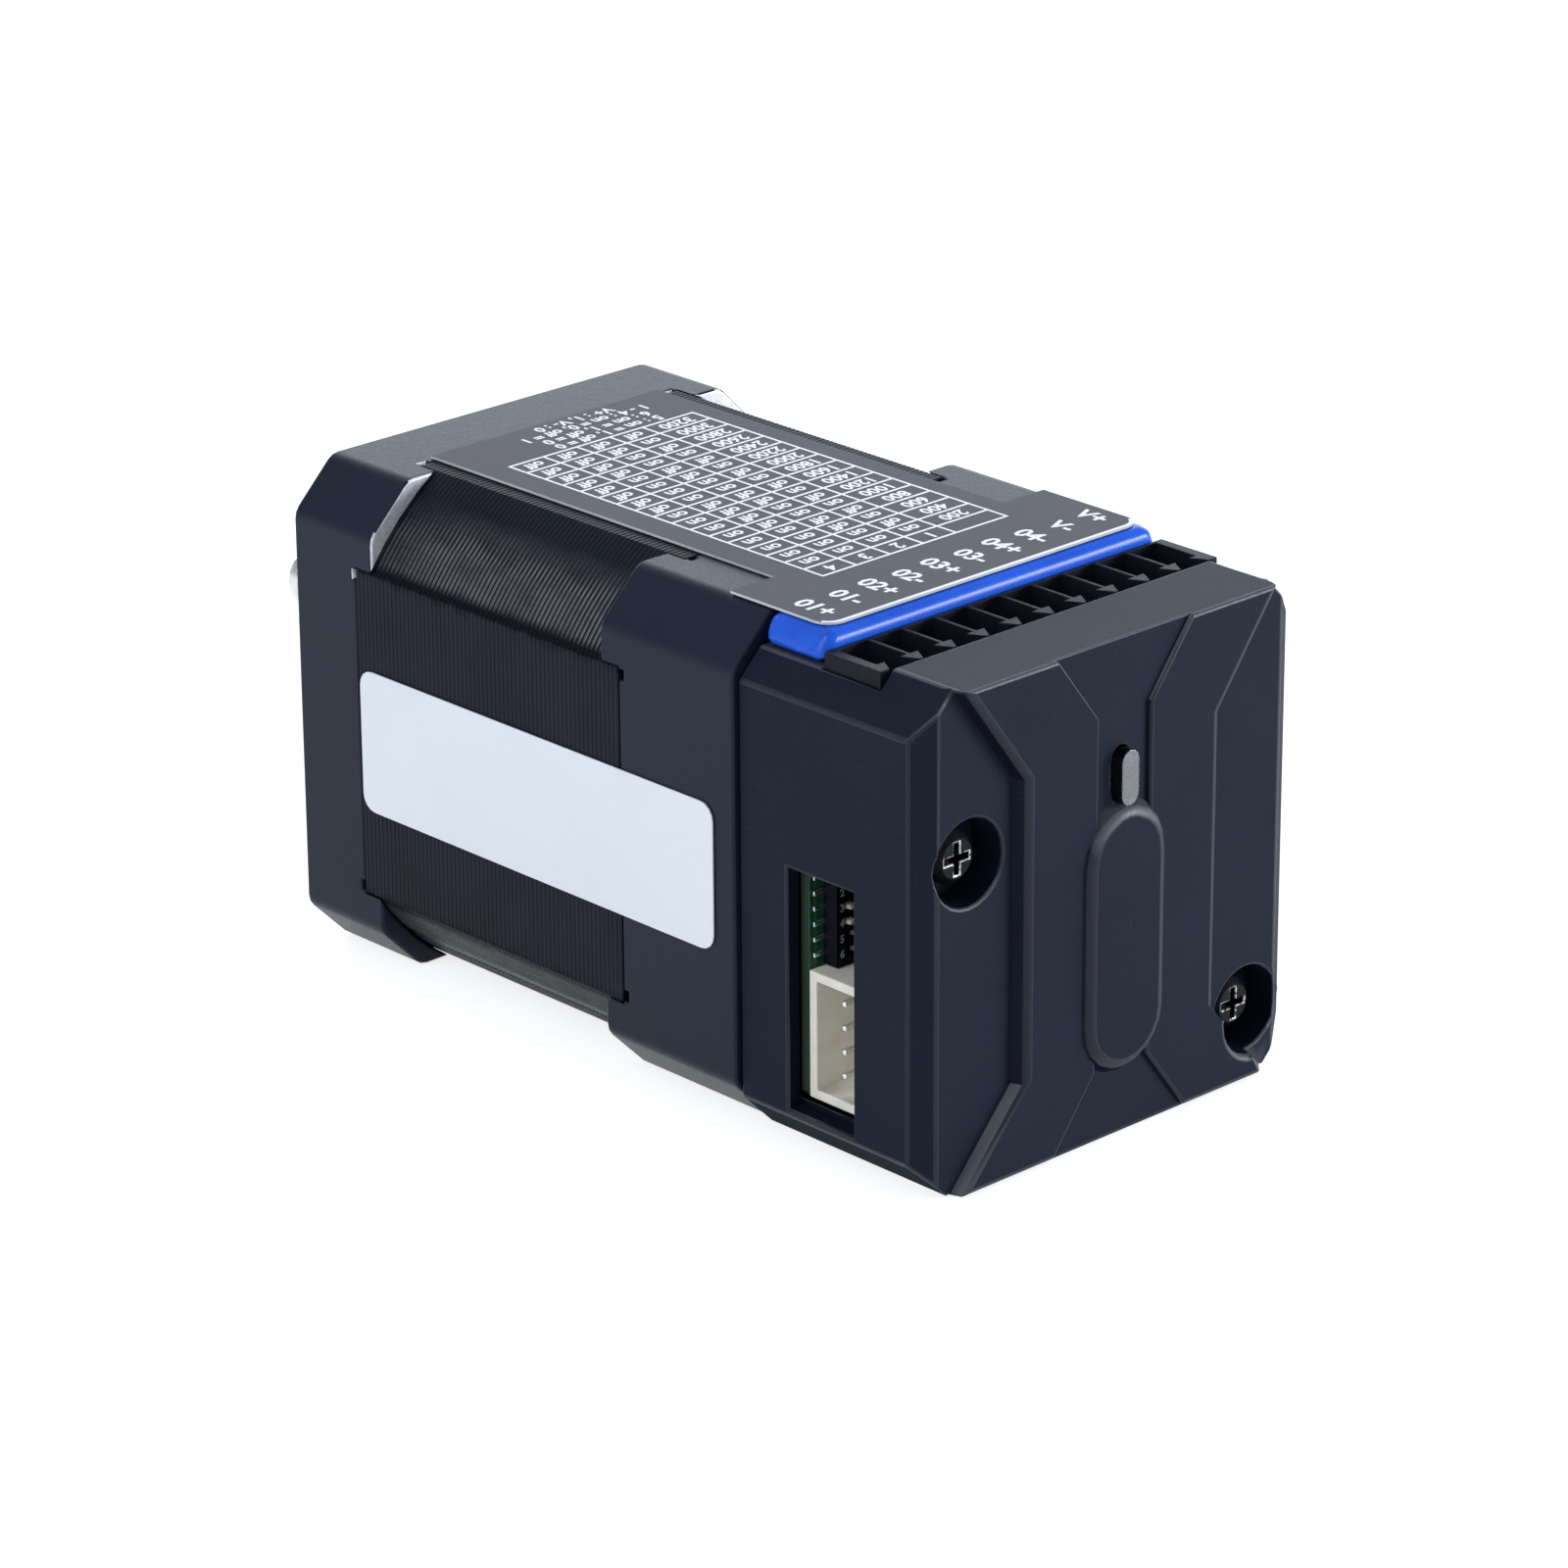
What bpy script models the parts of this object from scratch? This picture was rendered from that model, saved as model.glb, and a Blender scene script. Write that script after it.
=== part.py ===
"""Square stepper motor with a closed-loop driver module on its back, lying on one flat.

Three sketch planes meet where the shaft's axis crosses the motor's mounting face:
  rear view: x to the right and y up, seen from behind; depth is the station behind the mounting face
  side view: station to the right and y up, seen from the left; depth runs to the left
  top view:  x to the right and minus the station up, seen from above; depth runs up
World axes: +Y along the shaft, +Z up, metres.
"""

import math

import bmesh
import bpy
from mathutils import Vector

MM = 0.001
TAU = math.tau

# Clearances
SEAT = 0.1 * MM  # between two faces that rest on each other, or a piece and its hole
AIR_GAP = 0.1 * MM  # between rotor and stator teeth
SLIP = 0.3 * MM  # round pieces that pass through others without touching

# Motor frame
FRAME = 42.3 * MM
CAP_CHAMFER = 4.05 * MM
CAP_EDGE = 1.5 * MM  # radius along both edges of each chamfer
STACK_LENGTH = 31.6 * MM
LUG_REACH = 2.1 * MM  # how far the caps' corner lugs lap over the stack
STACK_CORNER_CUT = 7.2 * MM  # from the square's corner to the start of the stack's round corner
BOLT_INSET = 5.65 * MM  # bolt axes, in from the frame's sides
PILOT_RADIUS = 11.0 * MM
PILOT_HEIGHT = 2.0 * MM
CAP_WALL = 3.2 * MM  # front wall of the front cap
CAP_SIDE_WALL = 1.45 * MM  # beside the windings
FRONT_WINDING_ROOM = 1.1 * MM  # between the windings and the front cap's wall
REAR_WINDING_ROOM = 1.8 * MM  # between the windings and the rear cap's wall
HUB_WALL = 1.9 * MM  # ring round the front bearing
RELIEF_WIDTH = 0.9 * MM  # small notch beside each lug
RELIEF_DEPTH = 0.5 * MM

# Stator and windings
POLES = 8
TEETH_PER_POLE = 6
ROTOR_TEETH = 50
TOOTH_DEPTH = 0.6 * MM
POLE_WIDTH = 4.4 * MM
SLOT_DEPTH = 3.9 * MM  # from the backs of the pole shoes to the slots' floors
SHOE_DEPTH = 1.5 * MM
SHOE_EDGE = 1.0 * MM
YOKE = 2.75 * MM  # from the slots' floors to the flat sides
INSULATOR_THICKNESS = 0.9 * MM
INSULATOR_RIM = 1.0 * MM  # how far the insulator's ring covers the yoke
GUARD_LIP = 0.1 * MM  # the guards stand this far above the windings
GUARD_SPAN = math.radians(26)
COIL_BUILD = 2.3 * MM  # thickness of the winding round the pole
COIL_CORNER = 1.6 * MM

# Rotor
SHAFT_RADIUS = 2.5 * MM
SHAFT_REACH = 25.0 * MM  # free length in front of the mounting face
SHAFT_TAIL = 0.4 * MM  # how far the shaft stands out of the rear cap
SHAFT_FLAT_LENGTH = 20.0 * MM
SHAFT_FLAT_DEPTH = 0.5 * MM
SHAFT_END_CHAMFER = 0.5 * MM
ROTOR_END_MARGIN = 0.6 * MM  # the rotor is this much shorter than the stack at each end
ROTOR_MAGNET_LENGTH = 2.4 * MM
ROTOR_MAGNET_INSET = 1.3 * MM  # below the roots of the rotor's teeth

# Bearings
BEARING_RADIUS = 8.0 * MM
BEARING_WIDTH = 5.0 * MM
RACE_WALL = 1.6 * MM
RACE_GROOVE = 0.35 * MM
BALLS = 8
BALL_PLAY = 0.25 * MM  # between a ball and the bottom of the grooves
CAGE_WALL = 0.7 * MM
CAGE_WIDTH = 1.1 * MM
FRONT_BEARING_INSET = 0.8 * MM  # the front bearing stands this far into the pilot boss
SHAFT_HOLE_RADIUS = 4.2 * MM
WAVE_WASHER_SPACE = 0.8 * MM
WAVE_WASHER_THICKNESS = 0.25 * MM
WAVE_WASHER_WAVES = 3
REAR_BEARING_INSET = 1.9 * MM  # from the rear cap's back to the bottom of the bearing's pocket

# Screws and standoffs
MOTOR_SCREW_RADIUS = 1.5 * MM
MOTOR_SCREW_HEAD_RADIUS = 2.7 * MM
MOTOR_SCREW_HEAD_HEIGHT = 2.6 * MM
MOTOR_SCREW_SINK = 0.4 * MM  # head top below the rear cap's back
MOTOR_SCREW_TIP = 4.6 * MM  # leaves this much thread in front for the mounting screws
SOCKET_RADIUS = 1.4 * MM
SOCKET_DEPTH = 1.4 * MM
STANDOFF_RADIUS = 2.6 * MM
STANDOFF_STUD_LENGTH = 4.5 * MM
STANDOFF_THREAD_DEPTH = 4.0 * MM
HOUSING_SCREW_RADIUS = 1.25 * MM
HOUSING_SCREW_HEAD_RADIUS = 2.2 * MM
HOUSING_SCREW_HEAD_HEIGHT = 1.8 * MM
HOUSING_SCREW_BITE = 3.0 * MM  # length inside the standoff
RECESS_ARM = 1.3 * MM
RECESS_WIDTH = 0.55 * MM
RECESS_DEPTH = 0.9 * MM

# Encoder
ENCODER_MAGNET_RADIUS = 3.0 * MM
ENCODER_MAGNET_LENGTH = 2.5 * MM
HOLDER_WALL = 1.3 * MM
HOLDER_GRIP = 1.5 * MM  # how far the holder reaches over the shaft
ENCODER_CHIP = (4.0 * MM, 5.0 * MM, 0.9 * MM)
ENCODER_GAP = 1.1 * MM  # between the magnet and the chip

# Driver housing
HOUSING_SIDE_STEP = 0.5 * MM  # the housing is this much narrower than the motor on each side
HOUSING_BOTTOM_STEP = 0.15 * MM
HOUSING_TOP_STEP = 1.2 * MM
HOUSING_TOP_CHAMFER = 3.5 * MM
HOUSING_BOTTOM_CHAMFER = 3.0 * MM
HOUSING_WALL = 1.35 * MM
HOUSING_BACK_WALL = 1.8 * MM
HOUSING_ROOF = 1.6 * MM  # under the bezel
FACE_RAISE = 1.3 * MM  # the raised face above the lower level
BACK_BEVEL_WIDTH = 3.8 * MM
BACK_BEVEL_DEPTH = 2.6 * MM
STRIP_WIDTH = 10.3 * MM  # from the housing's side to the raised face's upright edge
STRIP_HEADROOM = 2.05 * MM  # from the left counterbore up to the upright edge's end
STRIP_FOOT = 7.3 * MM  # from the housing's bottom to the upright edge's other end
STRIP_RUN = 0.5 * MM
CHANNEL_HALF_WIDTH = 2.8 * MM
CHANNEL_DEPTH = 0.45 * MM
FUNNEL_WIDTH = 4.8 * MM  # how much wider the channel is at the housing's top and bottom
FUNNEL_HEIGHT = 5.95 * MM
PILL_HALF_WIDTH = 3.95 * MM
PILL_FOOT = 6.1 * MM  # above the housing's bottom
PILL_RAISE = 0.6 * MM
PILL_RUN = 0.9 * MM
HOUSING_SCREW_INSET = 5.25 * MM  # the left screw, in from the housing's side
POST_GAP = 0.55 * MM  # between the left screw's post and the switch below it
COUNTERBORE_RADIUS = 3.55 * MM
COUNTERBORE_DEPTH = 3.2 * MM  # below the lower level of the back
COUNTERBORE_WALL = 1.2 * MM
SLOT_FRONT_LAP = 0.2 * MM  # the side slot's front edge, behind the board's front face
SLOT_REAR_GAP = 0.65 * MM  # behind the connector
SLOT_TOP_GAP = 0.1 * MM  # above the switch
SLOT_BOTTOM_GAP = 0.9 * MM  # below the connector

# Light pipe
LENS_GAP = 0.5 * MM  # above the pill
LENS_HALF_WIDTH = 0.95 * MM
LENS_HALF_HEIGHT = 2.3 * MM
LENS_BASE = 1.4 * MM  # lens behind the back wall
LENS_EDGE = 0.3 * MM
LENS_RISE = 0.8 * MM  # the lens's middle above the stem's
STEM_RADIUS = 0.9 * MM
STEM_GAP = 0.8 * MM  # between the stem and the terminal header above it
LED_SIZE = (1.6 * MM, 1.0 * MM, 0.7 * MM)
LED_GAP = 0.6 * MM

# Board
BOARD_THICKNESS = 1.0 * MM
BOARD_CLEARANCE = 0.3 * MM
MCU_SIZE = (7.0 * MM, 7.0 * MM, 1.0 * MM)
MCU_PLACE = (-3.5 * MM, -6.0 * MM)
POWER_CHIP_SIZE = (7.0 * MM, 7.0 * MM, 1.2 * MM)
POWER_CHIP_PLACE = (6.5 * MM, -7.0 * MM)
CAPACITOR_RADIUS = 4.0 * MM
CAPACITOR_LENGTH = 8.0 * MM
CAPACITOR_HEADROOM = 3.6 * MM  # between the capacitor and the housing's back wall
CAPACITOR_EDGE = 0.5 * MM
CAPACITOR_INSET = 6.8 * MM  # its middle, in from the housing's inner wall
CAPACITOR_DROP = 7.2 * MM  # its middle, below the terminal header
LEADS_ACROSS = 2
LEAD_ROWS = 2
LEAD_STEPS = 5
LEAD_RADIUS = 0.6 * MM
LEAD_SPACING = 1.6 * MM
LEAD_HOLE_RADIUS = 2.4 * MM
LEAD_INSET = 5.2 * MM  # in from the rim of the space round the windings
LEAD_BOW = 0.4 * MM

# Terminal header and its bezel
TERMINAL_PITCH = 3.5 * MM
TERMINAL_MARGIN = 3.0 * MM  # the frame has as many terminals as fit between these margins
HEADER_END_WALL = 0.8 * MM
HEADER_DIVIDER = 0.35 * MM
HEADER_KEY = 0.8 * MM  # how far the arrowhead near each divider's rear end stands out
HEADER_KEY_LENGTH = 1.4 * MM
HEADER_FRONT_WALL = 0.35 * MM
HEADER_WALL = 0.7 * MM
HEADER_REAR_DROP = 3.0 * MM  # the rear wall is this much lower than the dividers
HEADER_MOUTH = 6.0 * MM  # front to back, outside
HEADER_GAP = 1.5 * MM  # between the header and the left screw's post below it
HEADER_TOP_DROP = 0.05 * MM  # below the housing's top
HEADER_FLOOR = 2.6 * MM  # under its pockets
HEADER_PIN_WIDTH = 1.0 * MM
HEADER_PIN_TIP = 2.4 * MM  # below the rim
HEADER_CLEARANCE = 0.15 * MM
BEZEL_LENGTH = 6.9 * MM
BEZEL_HEIGHT = 2.4 * MM
BEZEL_OVERHANG = 0.2 * MM  # wider than the header on each side
BEZEL_LEAN = 1.0 * MM  # its ends lean in by this much
BEZEL_EDGE = 1.0 * MM

# Labels
LABEL_GAP = 0.05 * MM
TOP_LABEL_THICKNESS = 0.25 * MM
TOP_LABEL_FRONT_LAP = 0.6 * MM  # over the front cap
TOP_LABEL_WIDE_LAP = 4.6 * MM  # its wide part, over the rear cap
TOP_LABEL_REAR_INSET = 0.85 * MM  # in from the bezel's rear edge
TOP_LABEL_HALF_WIDTH = 12.4 * MM
TOP_LABEL_WIDE_INSET = 1.5 * MM  # its wide part, in from the bezel's ends
TOP_LABEL_CORNER = 1.5 * MM
SIDE_LABEL_FRONT_INSET = 0.4 * MM  # behind the front cap
SIDE_LABEL_REAR_INSET = 2.2 * MM  # in front of the housing
SIDE_LABEL_HEIGHT = 12.2 * MM
SIDE_LABEL_CENTRE = -0.4 * MM
SIDE_LABEL_CORNER = 1.4 * MM
SIDE_LABEL_THICKNESS = 0.15 * MM

# DIP switch
SWITCHES = 6
SWITCHES_LEFT = (3, 4)  # the sliders that stand to the left
SWITCH_PITCH = 1.27 * MM
SWITCH_INSET = 1.6 * MM  # in from the housing's inner wall
SWITCH_WIDTH = 5.4 * MM
SWITCH_END = 0.35 * MM  # beyond the last pitch, and how far the legs reach into the body
SWITCH_HEIGHT = 1.5 * MM
SWITCH_LEG_WIDTH = 0.4 * MM
SWITCH_LEG_REACH = 1.1 * MM
SWITCH_LEG_THICKNESS = 0.2 * MM
SLIDER_LENGTH = 0.9 * MM
SLIDER_WIDTH = 0.6 * MM
SLIDER_PROUD = 0.35 * MM
SLIDER_SINK = 0.8 * MM
SLIDER_TAPER = 0.12 * MM
SLIDER_TRAVEL = 1.0 * MM
SLIDER_SLOT_INSET = 0.9 * MM  # from the switch's left face to the sliders' slots

# Communication connector
PLUG_PINS = 4
PLUG_PITCH = 2.0 * MM
PLUG_GAP = 0.1 * MM  # below the switch
PLUG_LENGTH = 10.6 * MM
PLUG_DEPTH = 7.0 * MM
PLUG_HEIGHT = 5.7 * MM
PLUG_WALL = 0.8 * MM
PLUG_FLOOR = 2.0 * MM
PLUG_PIN_WIDTH = 0.5 * MM
PLUG_PIN_SINK = 0.9 * MM  # pin tips inside the mouth

# Facets of round shapes
WELD = 0.001 * MM  # points closer than this are merged
HEX_SIDES = 6
HOLE_SIDES = 12
HEAD_SIDES = 16
SHAFT_SIDES = 16
RING_SIDES = 20
WIDE_SIDES = 24
CAP_SIDES = 32
LUG_SIDES = 64
BALL_SIDES = 6
BALL_RINGS = 4
SMOOTH_ANGLE = math.radians(32)

# Motor stations, from the mounting face backwards, worked out from what the caps hold
HALF = FRAME / 2
WINDING_END = INSULATOR_THICKNESS + SEAT + COIL_BUILD
FRONT_BEARING_S = -FRONT_BEARING_INSET
STACK_S = CAP_WALL + FRONT_WINDING_ROOM + WINDING_END
REAR_CAP_S = STACK_S + STACK_LENGTH
REAR_BEARING_S = REAR_CAP_S + WINDING_END + REAR_WINDING_ROOM + SEAT
REAR_POCKET_S = REAR_BEARING_S + BEARING_WIDTH + WAVE_WASHER_SPACE
HOUSING_S = REAR_POCKET_S + REAR_BEARING_INSET
MOTOR_SCREW_SEAT = HOUSING_S - MOTOR_SCREW_SINK - MOTOR_SCREW_HEAD_HEIGHT
SHAFT_END_S = HOUSING_S + SHAFT_TAIL

# Driver stations
MAGNET_S = SHAFT_END_S + SEAT
MAGNET_END_S = MAGNET_S + ENCODER_MAGNET_LENGTH
BOARD_S = MAGNET_END_S + ENCODER_GAP + ENCODER_CHIP[2] + SEAT
BOARD_REAR_S = BOARD_S + BOARD_THICKNESS
ON_BOARD = BOARD_REAR_S + SEAT
CAVITY_END_S = ON_BOARD + CAPACITOR_LENGTH + CAPACITOR_HEADROOM
BACK_S = CAVITY_END_S + HOUSING_BACK_WALL
FACE_S = BACK_S + FACE_RAISE
PILL_S = FACE_S + PILL_RAISE
COUNTERBORE_S = BACK_S - COUNTERBORE_DEPTH
BEZEL_REAR_S = HOUSING_S + SEAT + BEZEL_LENGTH
HEADER_FRONT_S = BEZEL_REAR_S + SEAT
HEADER_REAR_S = HEADER_FRONT_S + HEADER_MOUTH
FRONT_FACE_Y = (PILL_S - SHAFT_REACH) / 2

# Motor radii and corners
STACK_RADIUS = math.hypot(HALF, HALF - STACK_CORNER_CUT)
WINDING_SPACE_RADIUS = HALF - CAP_SIDE_WALL
LEAD_DROP = WINDING_SPACE_RADIUS - LEAD_INSET
SLOT_RADIUS = HALF - YOKE
BORE_RADIUS = SLOT_RADIUS - SLOT_DEPTH - SHOE_DEPTH
ROTOR_RADIUS = BORE_RADIUS - AIR_GAP
ROTOR_MAGNET_RADIUS = ROTOR_RADIUS - TOOTH_DEPTH - ROTOR_MAGNET_INSET
TOOTH_PITCH = TAU / ROTOR_TEETH
BOLT = HALF - BOLT_INSET
CORNERS = ((-BOLT, BOLT), (BOLT, BOLT), (-BOLT, -BOLT), (BOLT, -BOLT))
STANDOFF_CORNER = CORNERS[3]

# Driver levels: the connector stands on the lower chamfer, and the rest is stacked above it
HOUSING_HALF = HALF - HOUSING_SIDE_STEP
INNER_WALL = HOUSING_HALF - HOUSING_WALL
HOUSING_TOP = HALF - HOUSING_TOP_STEP
HOUSING_BOTTOM = HOUSING_BOTTOM_STEP - HALF
PLUG_BOTTOM = HOUSING_BOTTOM + HOUSING_WALL + HOUSING_BOTTOM_CHAMFER + SEAT
PLUG_TOP = PLUG_BOTTOM + PLUG_LENGTH
SWITCH_BOTTOM = PLUG_TOP + PLUG_GAP
SWITCH_TOP = SWITCH_BOTTOM + SWITCHES * SWITCH_PITCH + 2 * SWITCH_END
SWITCH_LEFT = SWITCH_INSET - INNER_WALL
POST_RADIUS = HOUSING_SCREW_RADIUS + HOUSING_WALL
LEFT_SCREW = (HOUSING_SCREW_INSET - HOUSING_HALF, SWITCH_TOP + POST_GAP + POST_RADIUS)
HOUSING_SCREWS = (LEFT_SCREW, STANDOFF_CORNER)
HEADER_BOTTOM = LEFT_SCREW[1] + POST_RADIUS + HEADER_GAP
HEADER_TOP = HOUSING_TOP - HEADER_TOP_DROP
BEZEL_BOTTOM = HALF - BEZEL_HEIGHT
CAVITY_TOP = BEZEL_BOTTOM - SEAT - HOUSING_ROOF
TERMINALS = int((FRAME - 2 * TERMINAL_MARGIN) / TERMINAL_PITCH)
HEADER_HALF = TERMINALS * TERMINAL_PITCH / 2 + HEADER_END_WALL
BEZEL_HALF = HEADER_HALF + BEZEL_OVERHANG
STEM_CENTRE = (0.0, HEADER_BOTTOM - STEM_GAP - STEM_RADIUS)
LENS_CENTRE = STEM_CENTRE[1] + LENS_RISE
PILL_TOP = LENS_CENTRE - LENS_HALF_HEIGHT - LENS_GAP
PILL_BOTTOM = HOUSING_BOTTOM + PILL_FOOT
STRIP_INSET = HOUSING_HALF - STRIP_WIDTH
STRIP_HIGH = LEFT_SCREW[1] + COUNTERBORE_RADIUS + STRIP_HEADROOM
STRIP_LOW = HOUSING_BOTTOM + STRIP_FOOT
CAPACITOR_PLACE = (INNER_WALL - CAPACITOR_INSET, HEADER_BOTTOM - CAPACITOR_DROP)


# Outlines

def arc(radius, start, end, steps, centre=(0.0, 0.0)):
    angles = [start + (end - start) * i / steps for i in range(steps + 1)]
    return [(centre[0] + radius * math.cos(a), centre[1] + radius * math.sin(a)) for a in angles]


def circle(radius, sides, centre=(0.0, 0.0)):
    return arc(radius, 0, TAU, sides, centre)[:-1]


def rectangle(left, right, low, high):
    return [(left, low), (right, low), (right, high), (left, high)]


def chamfered(left, right, low, high, low_cut, high_cut):
    return [
        (left + low_cut, low),
        (right - low_cut, low),
        (right, low + low_cut),
        (right, high - high_cut),
        (right - high_cut, high),
        (left + high_cut, high),
        (left, high - high_cut),
        (left, low + low_cut),
    ]


def eased(outline, radius, steps):
    """An outline that runs anticlockwise, with its corners turned into arcs."""
    points = []
    for i, place in enumerate(outline):
        corner = Vector(place)
        back = (Vector(outline[i - 1]) - corner).normalized()
        ahead = (Vector(outline[(i + 1) % len(outline)]) - corner).normalized()
        half = back.angle(ahead) / 2
        middle = corner + (back + ahead).normalized() * radius / math.sin(half)
        out = corner + back * radius / math.tan(half) - middle
        start = math.atan2(out.y, out.x)
        points += arc(radius, start, start + TAU / 2 - 2 * half, steps, middle)
    return points


def rounded(width, height, radius, steps, centre=(0.0, 0.0)):
    points = []
    for quarter, (sx, sy) in enumerate(((1, 1), (-1, 1), (-1, -1), (1, -1))):
        middle = (centre[0] + sx * (width / 2 - radius), centre[1] + sy * (height / 2 - radius))
        points += arc(radius, quarter * TAU / 4, (quarter + 1) * TAU / 4, steps, middle)
    return points


def stadium(half_width, low, high, steps):
    upper = arc(half_width, 0, TAU / 2, steps, (0, high - half_width))
    lower = arc(half_width, TAU / 2, TAU, steps, (0, low + half_width))
    return upper + lower


def polar(radius, angle):
    return (radius * math.cos(angle), radius * math.sin(angle))


def moved(outline, dx, dy=0.0):
    return [(x + dx, y + dy) for x, y in outline]


def mirrored(outline):
    return [(-x, y) for x, y in reversed(outline)]


# Solids

def new_object(name, bm, parent, location=(0.0, 0.0, 0.0)):
    bmesh.ops.recalc_face_normals(bm, faces=bm.faces[:])
    mesh = bpy.data.meshes.new(name)
    bm.to_mesh(mesh)
    bm.free()
    obj = bpy.data.objects.new(name, mesh)
    bpy.context.scene.collection.objects.link(obj)
    obj.parent = parent
    obj.location = location
    return obj


def prism(name, outlines, start, end, parent):
    """Outlines filled, with an inner one as a hole, and extruded from start to end along the depth."""
    bm = bmesh.new()
    for outline in outlines:
        ring = [bm.verts.new((x, y, 0)) for x, y in outline]
        for a, b in zip(ring, ring[1:] + ring[:1]):
            bm.edges.new((a, b))
    bmesh.ops.triangle_fill(bm, use_beauty=True, use_dissolve=False, edges=bm.edges[:])
    grown = bmesh.ops.extrude_face_region(bm, geom=bm.faces[:], use_keep_orig=True)
    top = [v for v in grown["geom"] if isinstance(v, bmesh.types.BMVert)]
    bmesh.ops.translate(bm, verts=top, vec=(0, 0, end - start))
    return new_object(name, bm, parent, (0, 0, start))


def loft(name, low, high, start, end, parent):
    """A straight-sided solid between two outlines of as many points."""
    bm = bmesh.new()
    bottom = [bm.verts.new((x, y, 0)) for x, y in low]
    top = [bm.verts.new((x, y, end - start)) for x, y in high]
    bm.faces.new(bottom)
    bm.faces.new(top)
    for i in range(len(bottom)):
        j = (i + 1) % len(bottom)
        bm.faces.new((bottom[i], bottom[j], top[j], top[i]))
    return new_object(name, bm, parent, (0, 0, start))


def lathe(name, profile, sides, parent):
    """A closed profile of (radius, station) points turned about the shaft's axis."""
    bm = bmesh.new()
    ring = [bm.verts.new((radius, 0, station)) for radius, station in profile]
    edges = [bm.edges.new((a, b)) for a, b in zip(ring, ring[1:] + ring[:1])]
    bmesh.ops.spin(
        bm,
        geom=ring + edges,
        cent=(0, 0, 0),
        axis=(0, 0, 1),
        angle=TAU,
        steps=sides,
        use_merge=True,
    )
    bmesh.ops.remove_doubles(bm, verts=bm.verts[:], dist=WELD)
    loose = [e for e in bm.edges if not e.link_faces]
    bmesh.ops.delete(bm, geom=loose, context="EDGES")
    return new_object(name, bm, parent)


def blocks(name, boxes, parent):
    """Separate boxes in one mesh, each as its low and high corner."""
    bm = bmesh.new()
    for low, high in boxes:
        low, high = Vector(low), Vector(high)
        made = bmesh.ops.create_cube(bm, size=1.0)["verts"]
        for vert in made:
            vert.co = (low + high) / 2 + vert.co * (high - low)
    return new_object(name, bm, parent)


def with_boolean(target, tool, operation):
    tool.hide_render = True
    tool.display_type = "WIRE"
    step = target.modifiers.new(tool.name, "BOOLEAN")
    step.operation = operation
    step.object = tool
    step.solver = "EXACT"


def cut(target, *tools):
    for tool in tools:
        with_boolean(target, tool, "DIFFERENCE")


def join(target, *tools):
    for tool in tools:
        with_boolean(target, tool, "UNION")


def round_edges(obj, width, segments):
    step = obj.modifiers.new("round_edges", "BEVEL")
    step.width = width
    step.segments = segments
    step.limit_method = "ANGLE"


def finish(obj, material):
    """Material, and smooth shading between sharp edges."""
    obj.data.materials.append(material)
    obj.data.shade_smooth()
    obj.data.set_sharp_from_angle(angle=SMOOTH_ANGLE)
    return obj


def copy_of(obj, name, location):
    """Another object with the same mesh and the same modifiers."""
    twin = obj.copy()
    twin.name = name
    twin.location = location
    bpy.context.scene.collection.objects.link(twin)
    return twin


def material(name, colour, roughness, metallic=0.0, alpha=1.0):
    made = bpy.data.materials.new(name)
    made.use_nodes = True
    shader = made.node_tree.nodes["Principled BSDF"]
    shader.inputs["Base Color"].default_value = (*colour, 1.0)
    shader.inputs["Roughness"].default_value = roughness
    shader.inputs["Metallic"].default_value = metallic
    shader.inputs["Alpha"].default_value = alpha
    return made


def empty(name, parent, location, rotation):
    made = bpy.data.objects.new(name, None)
    bpy.context.scene.collection.objects.link(made)
    made.parent = parent
    made.location = location
    made.rotation_euler = rotation
    return made


def sketch_planes():
    """The three planes at the mounting face, and the rotor's own axis."""
    place = (0, FRONT_FACE_Y, HALF)
    quarter = TAU / 4
    rear = empty("rear_view", None, place, (quarter, 0, 0))
    side = empty("side_view", None, place, (quarter, 0, -quarter))
    top = empty("top_view", None, place, (0, 0, 0))
    rotor = empty("rotor_axis", rear, (0, 0, 0), (0, 0, 0))
    return rear, side, top, rotor


# Motor frame

def square_outline():
    return eased(chamfered(-HALF, HALF, -HALF, HALF, CAP_CHAMFER, CAP_CHAMFER), CAP_EDGE, 2)


def stack_outline():
    """The square with its corners turned down to a circle."""
    first = math.atan2(HALF - STACK_CORNER_CUT, HALF)
    points = []
    for quarter in range(4):
        base = quarter * TAU / 4
        points += arc(STACK_RADIUS, base + first, base + TAU / 4 - first, 7)
    return points


def bolt_circles(radius, sides=HOLE_SIDES):
    return [circle(radius, sides, corner) for corner in CORNERS]


def lug_reliefs(name, start, end, parent):
    """A small notch on both sides of each lug, in the cap's edge that meets the stack."""
    inner = HALF - STACK_CORNER_CUT - RELIEF_WIDTH
    outer = HALF - STACK_CORNER_CUT
    depth = HALF - RELIEF_WIDTH
    outlines = []
    for sx in (-1, 1):
        for sy in (-1, 1):
            upright = sorted((sx * depth, sx * (HALF + RELIEF_WIDTH))) + sorted((sy * inner, sy * outer))
            level = sorted((sx * inner, sx * outer)) + sorted((sy * depth, sy * (HALF + RELIEF_WIDTH)))
            outlines += [rectangle(*upright), rectangle(*level)]
    return prism(name, outlines, start, end, parent)


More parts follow.
